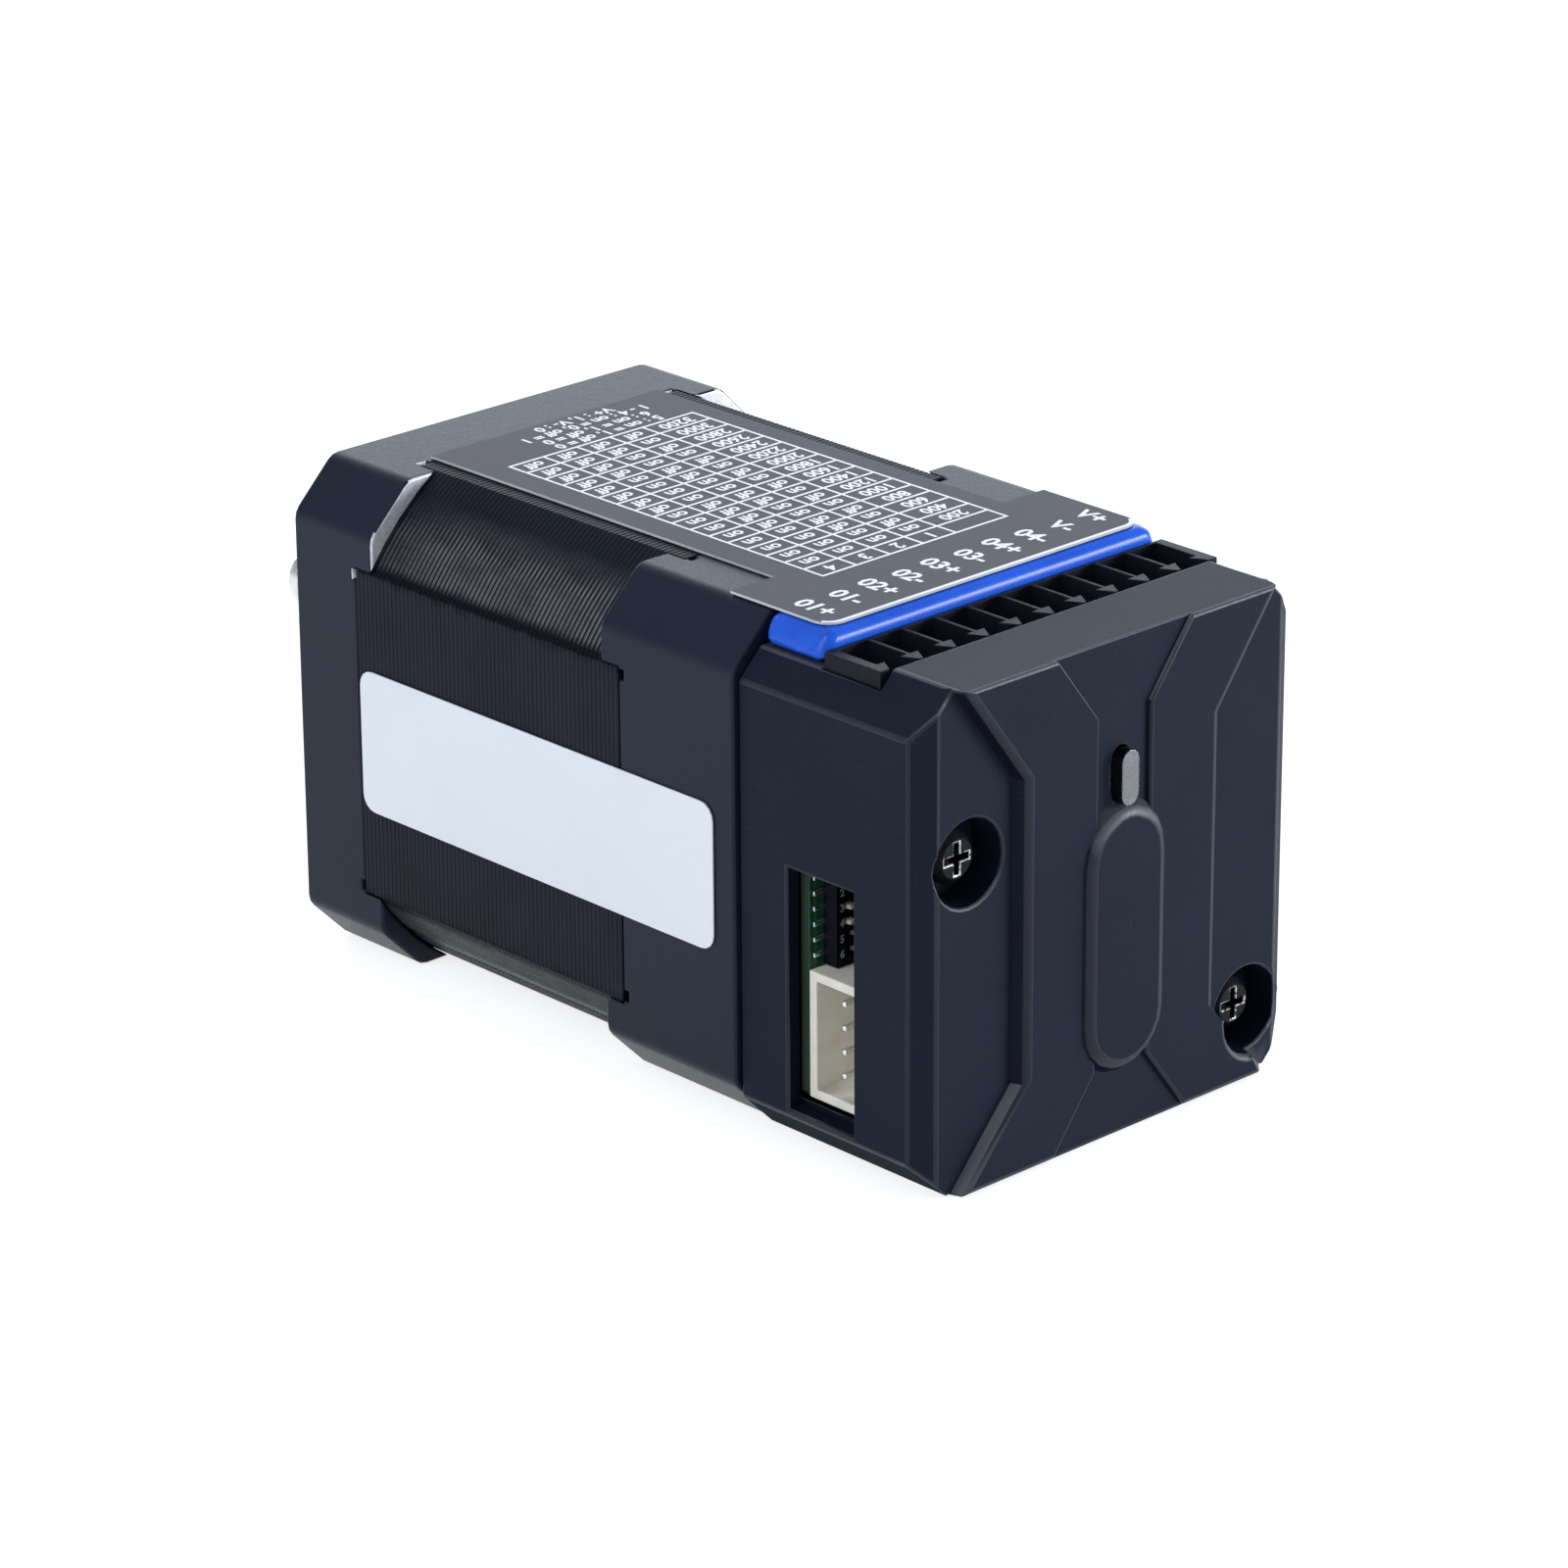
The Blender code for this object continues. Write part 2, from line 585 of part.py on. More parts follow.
def front_end_cap(rear, paint):
    beyond = PILOT_HEIGHT + SEAT
    lug_end = STACK_S + LUG_REACH
    cap = prism("front_end_cap", [square_outline()], 0, lug_end, rear)
    join(cap, prism("pilot_boss", [circle(PILOT_RADIUS, CAP_SIDES)], -PILOT_HEIGHT, CAP_WALL / 2, rear))
    pocket = BEARING_RADIUS + SEAT
    hub = pocket + HUB_WALL
    bearing_end = FRONT_BEARING_S + BEARING_WIDTH + SEAT
    inside = [
        (0, -beyond),
        (SHAFT_HOLE_RADIUS, -beyond),
        (SHAFT_HOLE_RADIUS, FRONT_BEARING_S - SEAT),
        (pocket, FRONT_BEARING_S - SEAT),
        (pocket, bearing_end),
        (hub, bearing_end),
        (hub, CAP_WALL),
        (WINDING_SPACE_RADIUS, CAP_WALL),
        (WINDING_SPACE_RADIUS, lug_end + SEAT),
        (0, lug_end + SEAT),
    ]
    cut(
        cap,
        prism("front_lug_bore", [circle(STACK_RADIUS + SEAT, LUG_SIDES)], STACK_S, lug_end + SEAT, rear),
        lathe("front_inside", inside, CAP_SIDES, rear),
        prism("front_bolt_holes", bolt_circles(MOTOR_SCREW_RADIUS + SEAT), -SEAT, lug_end, rear),
        lug_reliefs("front_reliefs", STACK_S - RELIEF_DEPTH, STACK_S + SEAT, rear),
    )
    return finish(cap, paint)


def rear_end_cap(rear, paint):
    lug_end = REAR_CAP_S - LUG_REACH
    cap = prism("rear_end_cap", [square_outline()], lug_end, HOUSING_S, rear)
    pocket = BEARING_RADIUS + SEAT
    tail_hole = ENCODER_MAGNET_RADIUS + HOLDER_WALL + SLIP * 2
    inside = [
        (0, lug_end - SEAT),
        (WINDING_SPACE_RADIUS, lug_end - SEAT),
        (WINDING_SPACE_RADIUS, REAR_BEARING_S - SEAT),
        (pocket, REAR_BEARING_S - SEAT),
        (pocket, REAR_POCKET_S),
        (tail_hole, REAR_POCKET_S),
        (tail_hole, HOUSING_S + SEAT),
        (0, HOUSING_S + SEAT),
    ]
    stud_floor = HOUSING_S - STANDOFF_STUD_LENGTH - SEAT
    stud_hole = circle(HOUSING_SCREW_RADIUS + SEAT, HOLE_SIDES, LEFT_SCREW)
    lead_hole = circle(LEAD_HOLE_RADIUS, HEAD_SIDES, (0, -LEAD_DROP))
    heads = bolt_circles(MOTOR_SCREW_HEAD_RADIUS + SLIP, HEAD_SIDES)
    cut(
        cap,
        prism("rear_lug_bore", [circle(STACK_RADIUS + SEAT, LUG_SIDES)], lug_end - SEAT, REAR_CAP_S, rear),
        lathe("rear_inside", inside, CAP_SIDES, rear),
        prism("rear_bolt_holes", bolt_circles(MOTOR_SCREW_RADIUS + SEAT), lug_end, HOUSING_S, rear),
        prism("rear_screw_heads", heads, MOTOR_SCREW_SEAT - SEAT, HOUSING_S + SEAT, rear),
        prism("standoff_stud_hole", [stud_hole], stud_floor, HOUSING_S + SEAT, rear),
        prism("lead_hole", [lead_hole], REAR_CAP_S, HOUSING_S + SEAT, rear),
        lug_reliefs("rear_reliefs", REAR_CAP_S - SEAT, REAR_CAP_S + RELIEF_DEPTH, rear),
    )
    return finish(cap, paint)


# Stator

def stator_bore():
    """The bore's outline: toothed pole shoes on straight poles, with round slot floors between them."""
    shoe_half = (TEETH_PER_POLE - 0.5) * TOOTH_PITCH / 2
    shoe_back = BORE_RADIUS + SHOE_DEPTH
    at_floor = math.asin(POLE_WIDTH / 2 / SLOT_RADIUS)
    at_shoe = math.asin(POLE_WIDTH / 2 / shoe_back)
    points = []
    for pole in range(POLES):
        middle = pole * TAU / POLES
        points.append(polar(SLOT_RADIUS, middle - at_floor))
        points.append(polar(shoe_back, middle - at_shoe))
        points.append(polar(BORE_RADIUS + SHOE_EDGE, middle - shoe_half))
        for tooth in range(TEETH_PER_POLE):
            start = middle - shoe_half + tooth * TOOTH_PITCH
            if tooth:
                points.append(polar(BORE_RADIUS + TOOTH_DEPTH, start))
            points.append(polar(BORE_RADIUS, start))
            points.append(polar(BORE_RADIUS, start + TOOTH_PITCH / 2))
            if tooth < TEETH_PER_POLE - 1:
                points.append(polar(BORE_RADIUS + TOOTH_DEPTH, start + TOOTH_PITCH / 2))
        points.append(polar(BORE_RADIUS + SHOE_EDGE, middle + shoe_half))
        points.append(polar(shoe_back, middle + at_shoe))
        points += arc(SLOT_RADIUS, middle + at_floor, middle + TAU / POLES - at_floor, 4)[:-1]
    return points


def stator_stack(rear, steel):
    outlines = [stack_outline(), stator_bore()] + bolt_circles(MOTOR_SCREW_RADIUS + SEAT)
    return finish(prism("stator_stack", outlines, STACK_S + SEAT, REAR_CAP_S - SEAT, rear), steel)


def insulator_hole():
    """The insulator's inner outline: an arm over each pole, ending in a guard behind the teeth."""
    guard_back = BORE_RADIUS + SHOE_DEPTH
    guard_front = BORE_RADIUS + TOOTH_DEPTH
    at_floor = math.asin(POLE_WIDTH / 2 / SLOT_RADIUS)
    at_guard = math.asin(POLE_WIDTH / 2 / guard_back)
    points = []
    for pole in range(POLES):
        middle = pole * TAU / POLES
        points.append(polar(SLOT_RADIUS, middle - at_floor))
        points.append(polar(guard_back, middle - at_guard))
        points.append(polar(guard_back, middle - GUARD_SPAN / 2))
        points += arc(guard_front, middle - GUARD_SPAN / 2, middle + GUARD_SPAN / 2, 3)
        points.append(polar(guard_back, middle + GUARD_SPAN / 2))
        points.append(polar(guard_back, middle + at_guard))
        points += arc(SLOT_RADIUS, middle + at_floor, middle + TAU / POLES - at_floor, 3)[:-1]
    return points


def guard_outlines():
    inner = BORE_RADIUS + TOOTH_DEPTH
    outer = BORE_RADIUS + SHOE_DEPTH
    half = GUARD_SPAN / 2
    outlines = []
    for pole in range(POLES):
        middle = pole * TAU / POLES
        front = arc(inner, middle - half, middle + half, 3)
        back = [polar(outer, middle + half), polar(outer, middle), polar(outer, middle - half)]
        outlines.append(front + back)
    return outlines


def insulator(name, plate, guard, rear, plastic):
    """A plate on one end of the stack, between two stations, with its guards between two more."""
    outlines = [circle(SLOT_RADIUS + INSULATOR_RIM, WIDE_SIDES), insulator_hole()]
    made = prism(name, outlines, plate[0], plate[1], rear)
    join(made, prism(name + "_guards", guard_outlines(), guard[0], guard[1], rear))
    return finish(made, plastic)


def insulators(rear, plastic):
    """One plate on each end of the stack; the guards stand a little higher than the windings."""
    reach = WINDING_END - SEAT + GUARD_LIP
    half = INSULATOR_THICKNESS / 2
    front = (STACK_S - INSULATOR_THICKNESS, STACK_S)
    back = (REAR_CAP_S, REAR_CAP_S + INSULATOR_THICKNESS)
    insulator("front_insulator", front, (STACK_S - reach, STACK_S - half), rear, plastic)
    insulator("rear_insulator", back, (REAR_CAP_S + half, REAR_CAP_S + reach), rear, plastic)


def coils(rear, copper):
    """A wound ring round each pole, its axis along the pole."""
    inner_width = POLE_WIDTH + 2 * SLIP
    inner_height = STACK_LENGTH + 2 * INSULATOR_THICKNESS + 2 * SEAT
    outer_width = inner_width + 2 * COIL_BUILD
    outer_height = inner_height + 2 * COIL_BUILD
    nearest = BORE_RADIUS + SHOE_DEPTH + SLIP
    furthest = math.sqrt(SLOT_RADIUS**2 - (outer_width / 2) ** 2) - SLIP
    outlines = [
        rounded(outer_width, outer_height, COIL_CORNER, 2),
        rounded(inner_width, inner_height, COIL_CORNER / 4, 1),
    ]
    for pole in range(POLES):
        coil = prism(f"coil_{pole + 1}", outlines, nearest, furthest, rear)
        angle = pole * TAU / POLES
        coil.rotation_euler = (TAU / 4, 0, angle + TAU / 4)
        along = polar(nearest, angle)
        coil.location = (along[0], along[1], STACK_S + STACK_LENGTH / 2)
        finish(coil, copper)


# Rotor

def rotor_outline(offset):
    points = []
    for tooth in range(ROTOR_TEETH):
        start = offset + (tooth - 0.25) * TOOTH_PITCH
        root = ROTOR_RADIUS - TOOTH_DEPTH
        points.append(polar(root, start))
        points.append(polar(ROTOR_RADIUS, start))
        points.append(polar(ROTOR_RADIUS, start + TOOTH_PITCH / 2))
        points.append(polar(root, start + TOOTH_PITCH / 2))
    return points


def rotor(axis, steel, magnet_grey):
    """Two toothed cups, half a tooth apart, with the disc magnet between them."""
    hole = circle(SHAFT_RADIUS + SEAT, SHAFT_SIDES)
    start = STACK_S + ROTOR_END_MARGIN
    end = REAR_CAP_S - ROTOR_END_MARGIN
    magnet_start = (start + end - ROTOR_MAGNET_LENGTH) / 2
    magnet_end = magnet_start + ROTOR_MAGNET_LENGTH
    front = prism("rotor_front_cup", [rotor_outline(0), hole], start, magnet_start - SEAT, axis)
    rear = prism("rotor_rear_cup", [rotor_outline(TOOTH_PITCH / 2), hole], magnet_end + SEAT, end, axis)
    disc = [circle(ROTOR_MAGNET_RADIUS, WIDE_SIDES), hole]
    finish(front, steel)
    finish(rear, steel)
    finish(prism("rotor_magnet", disc, magnet_start, magnet_end, axis), magnet_grey)


def shaft(axis, steel):
    """The shaft with chamfered ends and a flat, which faces up at rest, at its free end."""
    bevel = SHAFT_END_CHAMFER
    profile = [
        (0, -SHAFT_REACH),
        (SHAFT_RADIUS - bevel, -SHAFT_REACH),
        (SHAFT_RADIUS, bevel - SHAFT_REACH),
        (SHAFT_RADIUS, SHAFT_END_S - bevel),
        (SHAFT_RADIUS - bevel, SHAFT_END_S),
        (0, SHAFT_END_S),
    ]
    made = lathe("shaft", profile, SHAFT_SIDES, axis)
    low = (-2 * SHAFT_RADIUS, SHAFT_RADIUS - SHAFT_FLAT_DEPTH, -2 * SHAFT_REACH)
    high = (2 * SHAFT_RADIUS, 2 * SHAFT_RADIUS, SHAFT_FLAT_LENGTH - SHAFT_REACH)
    cut(made, blocks("shaft_flat", [(low, high)], axis))
    return finish(made, steel)


def bearing(name, start, rear, axis, steel, brass):
    """Two grooved rings, and the balls fused to the ring of their cage."""
    end = start + BEARING_WIDTH
    middle = start + BEARING_WIDTH / 2
    outer_race = BEARING_RADIUS - RACE_WALL
    inner_race = SHAFT_RADIUS + SEAT + RACE_WALL
    pitch_radius = (outer_race + inner_race) / 2
    ball_radius = (outer_race - inner_race) / 2 + RACE_GROOVE - BALL_PLAY
    groove = ball_radius + BALL_PLAY
    outer = [
        (BEARING_RADIUS, start),
        (BEARING_RADIUS, end),
        (outer_race, end),
        (outer_race, middle + groove),
        (outer_race + RACE_GROOVE, middle),
        (outer_race, middle - groove),
        (outer_race, start),
    ]
    inner = [
        (SHAFT_RADIUS + SEAT, start),
        (inner_race, start),
        (inner_race, middle - groove),
        (inner_race - RACE_GROOVE, middle),
        (inner_race, middle + groove),
        (inner_race, end),
        (SHAFT_RADIUS + SEAT, end),
    ]
    finish(lathe(name + "_outer_ring", outer, RING_SIDES, rear), steel)
    finish(lathe(name + "_inner_ring", inner, RING_SIDES, axis), steel)
    ring = [
        circle(pitch_radius + CAGE_WALL / 2, HEAD_SIDES),
        circle(pitch_radius - CAGE_WALL / 2, HEAD_SIDES),
    ]
    cage_start = middle + ball_radius / 3
    cage = prism(name + "_balls", ring, cage_start, cage_start + CAGE_WIDTH, axis)
    bm = bmesh.new()
    for ball in range(BALLS):
        made = bmesh.ops.create_uvsphere(
            bm,
            u_segments=BALL_SIDES,
            v_segments=BALL_RINGS,
            radius=ball_radius,
        )
        place = (*polar(pitch_radius, ball * TAU / BALLS), middle)
        bmesh.ops.translate(bm, verts=made["verts"], vec=place)
    join(cage, new_object(name + "_ball_set", bm, axis))
    finish(cage, brass)


def wave_washer(rear, steel):
    """A thin ring bent into waves, between the rear bearing and its pocket's floor."""
    outer = BEARING_RADIUS - SLIP
    inner = BEARING_RADIUS - RACE_WALL + SLIP
    low = REAR_BEARING_S + BEARING_WIDTH + SEAT
    high = REAR_POCKET_S - SEAT
    swing = (high - low - WAVE_WASHER_THICKNESS) / 2
    middle = (high + low) / 2
    bm = bmesh.new()
    rings = []
    for side in range(WIDE_SIDES):
        angle = side * TAU / WIDE_SIDES
        level = middle + swing * math.sin(WAVE_WASHER_WAVES * angle)
        corners = []
        for radius, offset in ((inner, -0.5), (outer, -0.5), (outer, 0.5), (inner, 0.5)):
            station = level + offset * WAVE_WASHER_THICKNESS
            corners.append(bm.verts.new((*polar(radius, angle), station)))
        rings.append(corners)
    for here, there in zip(rings, rings[1:] + rings[:1]):
        for i in range(4):
            j = (i + 1) % 4
            bm.faces.new((here[i], here[j], there[j], there[i]))
    return finish(new_object("wave_washer", bm, rear), steel)


# Screws and standoffs

def motor_screws(rear, steel):
    """Long socket-head screws from the rear cap to the front cap, on three corners."""
    head_top = MOTOR_SCREW_SEAT + MOTOR_SCREW_HEAD_HEIGHT
    profile = [
        (0, MOTOR_SCREW_TIP),
        (MOTOR_SCREW_RADIUS, MOTOR_SCREW_TIP),
        (MOTOR_SCREW_RADIUS, MOTOR_SCREW_SEAT),
        (MOTOR_SCREW_HEAD_RADIUS, MOTOR_SCREW_SEAT),
        (MOTOR_SCREW_HEAD_RADIUS, head_top),
        (0, head_top),
    ]
    first = lathe("motor_screw_1", profile, HOLE_SIDES, rear)
    key = circle(SOCKET_RADIUS, HEX_SIDES)
    socket = prism("screw_socket", [key], head_top - SOCKET_DEPTH, head_top + SEAT, first)
    cut(first, socket)
    finish(first, steel)
    first.location = (*CORNERS[0], 0)
    for number, corner in enumerate(CORNERS[1:3], 2):
        twin = copy_of(first, f"motor_screw_{number}", (*corner, 0))
        own_socket = copy_of(socket, f"screw_socket_{number}", socket.location)
        own_socket.parent = twin
        twin.modifiers[0].object = own_socket


def standoffs(rear, steel):
    """The long screw whose head is a standoff for the board, and a short standoff in the rear cap."""
    top = BOARD_S - SEAT
    bore_floor = top - STANDOFF_THREAD_DEPTH
    bore = circle(HOUSING_SCREW_RADIUS + SEAT, HOLE_SIDES)
    shank = circle(MOTOR_SCREW_RADIUS, HOLE_SIDES)
    hexagon = circle(STANDOFF_RADIUS, HEX_SIDES)
    long_one = prism("standoff_screw", [hexagon], MOTOR_SCREW_SEAT, top, rear)
    long_one.location = (*STANDOFF_CORNER, MOTOR_SCREW_SEAT)
    shank_start = MOTOR_SCREW_TIP - MOTOR_SCREW_SEAT
    join(long_one, prism("long_shank", [shank], shank_start, SEAT, long_one))
    long_floor = bore_floor - MOTOR_SCREW_SEAT
    cut(long_one, prism("long_thread", [bore], long_floor, top - MOTOR_SCREW_SEAT + SEAT, long_one))
    finish(long_one, steel)

    base = HOUSING_S + SEAT
    short_one = prism("board_standoff", [hexagon], base, top, rear)
    short_one.location = (*LEFT_SCREW, base)
    stud_outline = circle(HOUSING_SCREW_RADIUS, HOLE_SIDES)
    stud = prism("stud", [stud_outline], -STANDOFF_STUD_LENGTH, SEAT, short_one)
    join(short_one, stud)
    cut(short_one, prism("short_thread", [bore], bore_floor - base, top - base + SEAT, short_one))
    finish(short_one, steel)


def cross(arm, width):
    half = width / 2
    quarter = [(arm, -half), (arm, half), (half, half)]
    points = []
    for turn in range(4):
        c, s = round(math.cos(turn * TAU / 4)), round(math.sin(turn * TAU / 4))
        points += [(c * x - s * y, s * x + c * y) for x, y in quarter]
    return points


def housing_screws(rear, steel):
    """Pan-head cross-recess screws through the housing and the board into the standoffs."""
    seat = COUNTERBORE_S + SEAT
    head_top = seat + HOUSING_SCREW_HEAD_HEIGHT
    tip = BOARD_S - HOUSING_SCREW_BITE
    shoulder = HOUSING_SCREW_HEAD_HEIGHT / 3
    profile = [
        (0, tip),
        (HOUSING_SCREW_RADIUS, tip),
        (HOUSING_SCREW_RADIUS, seat),
        (HOUSING_SCREW_HEAD_RADIUS, seat),
        (HOUSING_SCREW_HEAD_RADIUS, head_top - shoulder),
        (HOUSING_SCREW_HEAD_RADIUS - shoulder, head_top),
        (0, head_top),
    ]
    for number, place in enumerate(HOUSING_SCREWS, 1):
        screw = lathe(f"housing_screw_{number}", profile, HEAD_SIDES, rear)
        screw.location = (*place, 0)
        recess = cross(RECESS_ARM, RECESS_WIDTH)
        tool = prism(f"cross_recess_{number}", [recess], head_top - RECESS_DEPTH, head_top + SEAT, screw)
        cut(screw, tool)
        finish(screw, steel)


# Encoder

def encoder(axis, rear, plastic, magnet_grey, chip_black):
    """The magnet in its holder on the shaft's tail, and the chip on the board that reads it."""
    holder_start = SHAFT_END_S - HOLDER_GRIP
    outside = ENCODER_MAGNET_RADIUS + SEAT + HOLDER_WALL
    profile = [
        (SHAFT_RADIUS + SEAT, holder_start),
        (outside, holder_start),
        (outside, MAGNET_END_S),
        (ENCODER_MAGNET_RADIUS + SEAT, MAGNET_END_S),
        (ENCODER_MAGNET_RADIUS + SEAT, SHAFT_END_S),
        (SHAFT_RADIUS + SEAT, SHAFT_END_S),
    ]
    finish(lathe("magnet_holder", profile, SHAFT_SIDES, axis), plastic)
    disc = circle(ENCODER_MAGNET_RADIUS, SHAFT_SIDES)
    finish(prism("encoder_magnet", [disc], MAGNET_S, MAGNET_END_S, axis), magnet_grey)
    width, height, thickness = ENCODER_CHIP
    outline = rectangle(-width / 2, width / 2, -height / 2, height / 2)
    chip_end = BOARD_S - SEAT
    finish(prism("encoder_chip", [outline], chip_end - thickness, chip_end, rear), chip_black)


# Driver housing

def housing_outline(inset=0.0, top=HOUSING_TOP):
    side = HOUSING_HALF - inset
    low = HOUSING_BOTTOM + inset
    return chamfered(-side, side, low, top, HOUSING_BOTTOM_CHAMFER, HOUSING_TOP_CHAMFER)


def back_bevels(top):
    """Slanted planes along the back's left and right edges."""
    slope_x, slope_s = BACK_BEVEL_WIDTH / 2, BACK_BEVEL_DEPTH / 2
    wedge = [
        (HOUSING_HALF + slope_x, -(FACE_S - BACK_BEVEL_DEPTH - slope_s)),
        (HOUSING_HALF - BACK_BEVEL_WIDTH - slope_x, -(FACE_S + slope_s)),
        (HOUSING_HALF + slope_x, -(FACE_S + slope_s)),
    ]
    return prism("back_bevels", [wedge, mirrored(wedge)], -FRAME, FRAME, top)


def strip_outline():
    """The lower strip on the back's left: straight beside the raised face, then out to the corners."""
    corner = HOUSING_HALF - BACK_BEVEL_WIDTH
    run = corner - STRIP_INSET
    high_slope = (HOUSING_TOP - STRIP_HIGH) / run
    low_slope = (HOUSING_BOTTOM - STRIP_LOW) / run
    reach = run + BACK_BEVEL_WIDTH * 2
    return [
        (-STRIP_INSET - reach, STRIP_HIGH + high_slope * reach),
        (-STRIP_INSET - reach, STRIP_LOW + low_slope * reach),
        (-STRIP_INSET, STRIP_LOW),
        (-STRIP_INSET, STRIP_HIGH),
    ]


def back_strips(rear):
    """Both strips, cut with leaning walls a little past the raised face."""
    spare = FACE_RAISE
    lean = STRIP_RUN * spare / FACE_RAISE
    low = moved(strip_outline(), -STRIP_RUN)
    high = moved(strip_outline(), lean)
    left = loft("left_strip", low, high, BACK_S, FACE_S + spare, rear)
    right = loft("right_strip", mirrored(low), mirrored(high), BACK_S, FACE_S + spare, rear)
    return left, right


def channel_outline():
    """The shallow channel up the middle of the back, wider towards the housing's top and bottom."""
    narrow = CHANNEL_HALF_WIDTH
    wide = CHANNEL_HALF_WIDTH + FUNNEL_WIDTH
    high = HOUSING_TOP - FUNNEL_HEIGHT
    low = HOUSING_BOTTOM + FUNNEL_HEIGHT
    return [
        (-wide, HOUSING_TOP + SLIP),
        (-narrow, high),
        (-narrow, low),
        (-wide, HOUSING_BOTTOM - SLIP),
        (wide, HOUSING_BOTTOM - SLIP),
        (narrow, low),
        (narrow, high),
        (wide, HOUSING_TOP + SLIP),
    ]


def pill(rear):
    low = stadium(PILL_HALF_WIDTH + PILL_RUN, PILL_BOTTOM - PILL_RUN, PILL_TOP + PILL_RUN, 10)
    high = stadium(PILL_HALF_WIDTH, PILL_BOTTOM, PILL_TOP, 10)
    return loft("pill", low, high, FACE_S - CHANNEL_DEPTH - SEAT, PILL_S, rear)


def lens_outline(clearance=0.0):
    low = LENS_CENTRE - LENS_HALF_HEIGHT - clearance
    high = LENS_CENTRE + LENS_HALF_HEIGHT + clearance
    return stadium(LENS_HALF_WIDTH + clearance, low, high, 6)


def driver_housing(rear, side, top, plastic):
    housing = prism("driver_housing", [housing_outline()], HOUSING_S + SEAT, FACE_S, rear)
    before = HOUSING_S - SEAT
    cut(housing, back_bevels(top), *back_strips(rear))
    cut(housing, prism("channel", [channel_outline()], FACE_S - CHANNEL_DEPTH, PILL_S + SLIP, rear))
    join(housing, pill(rear))
    cut(housing, prism("cavity", [housing_outline(HOUSING_WALL, CAVITY_TOP)], before, CAVITY_END_S, rear))

    wide_radius = COUNTERBORE_RADIUS + COUNTERBORE_WALL
    wide_start = COUNTERBORE_S - HOUSING_BACK_WALL
    overlap = CAVITY_END_S + HOUSING_BACK_WALL / 2
    for number, place in enumerate(HOUSING_SCREWS, 1):
        slim = circle(POST_RADIUS, HEAD_SIDES, place)
        wide = circle(wide_radius, WIDE_SIDES, place)
        join(housing, prism(f"post_{number}", [slim], ON_BOARD, overlap, rear))
        join(housing, prism(f"boss_{number}", [wide], wide_start, overlap, rear))
    seats = [circle(COUNTERBORE_RADIUS, WIDE_SIDES, place) for place in HOUSING_SCREWS]
    shanks = [circle(HOUSING_SCREW_RADIUS + SEAT, HOLE_SIDES, place) for place in HOUSING_SCREWS]
    cut(
        housing,
        prism("counterbores", seats, COUNTERBORE_S, PILL_S + SLIP, rear),
        prism("shank_holes", shanks, BOARD_S, COUNTERBORE_S + SLIP, rear),
        prism("lens_hole", [lens_outline(SEAT)], CAVITY_END_S - SLIP, PILL_S + SLIP, rear),
    )

    slot = rectangle(
        BOARD_S + SLOT_FRONT_LAP,
        ON_BOARD + PLUG_HEIGHT + SLOT_REAR_GAP,
        PLUG_BOTTOM - SLOT_BOTTOM_GAP,
        SWITCH_TOP + SLOT_TOP_GAP,
    )
    slot_inside = INNER_WALL - SLIP
    wide_enough = HEADER_HALF + HEADER_CLEARANCE
    mouth_rear = HEADER_REAR_S + HEADER_CLEARANCE
    mouth_low = HEADER_BOTTOM - HEADER_CLEARANCE
    mouth = [
        (BOARD_REAR_S, mouth_low),
        (mouth_rear, mouth_low),
        (mouth_rear, HALF),
        (HEADER_FRONT_S - HEADER_CLEARANCE, HALF),
        (HEADER_FRONT_S - HEADER_CLEARANCE, CAVITY_TOP),
        (BOARD_REAR_S, CAVITY_TOP),
    ]
    ledge = rectangle(before, BEZEL_REAR_S + SEAT, BEZEL_BOTTOM - SEAT, HALF)
    cut(
        housing,
        prism("side_slot", [slot], slot_inside, HALF, side),
        prism("header_mouth", [mouth], -wide_enough, wide_enough, side),
        prism("bezel_ledge", [ledge], -HALF, HALF, side),
    )
    return finish(housing, plastic)


def light_pipe(rear, clear):
    """The oval lens, flush with the pill, and its stem that reaches to the light on the board."""
    lens_start = CAVITY_END_S - LENS_BASE
    lens = prism("light_pipe", [lens_outline()], lens_start, PILL_S, rear)
    round_edges(lens, LENS_EDGE, 2)
    stem_start = ON_BOARD + LED_SIZE[2] + LED_GAP
    stem = circle(STEM_RADIUS, HOLE_SIDES, STEM_CENTRE)
    join(lens, prism("stem", [stem], stem_start, lens_start + LENS_BASE / 2, rear))
    return finish(lens, clear)


# Board and what is soldered to it

def chip(name, size, place, rear, look):
    width, height, thickness = size
    outline = rectangle(-width / 2, width / 2, -height / 2, height / 2)
    return finish(prism(name, [moved(outline, *place)], ON_BOARD, ON_BOARD + thickness, rear), look)


def driver_board(rear, green):
    outline = housing_outline(HOUSING_WALL + BOARD_CLEARANCE, CAVITY_TOP - BOARD_CLEARANCE)
    holes = [circle(HOUSING_SCREW_RADIUS + SEAT, HOLE_SIDES, place) for place in HOUSING_SCREWS]
    return finish(prism("driver_board", [outline] + holes, BOARD_S, BOARD_REAR_S, rear), green)


def capacitor(rear, aluminium):
    end = ON_BOARD + CAPACITOR_LENGTH
    profile = [
        (0, ON_BOARD),
        (CAPACITOR_RADIUS, ON_BOARD),
        (CAPACITOR_RADIUS, end - CAPACITOR_EDGE),
        (CAPACITOR_RADIUS - CAPACITOR_EDGE, end),
        (0, end),
    ]
    made = lathe("bulk_capacitor", profile, RING_SIDES, rear)
    made.location = (*CAPACITOR_PLACE, 0)
    return finish(made, aluminium)


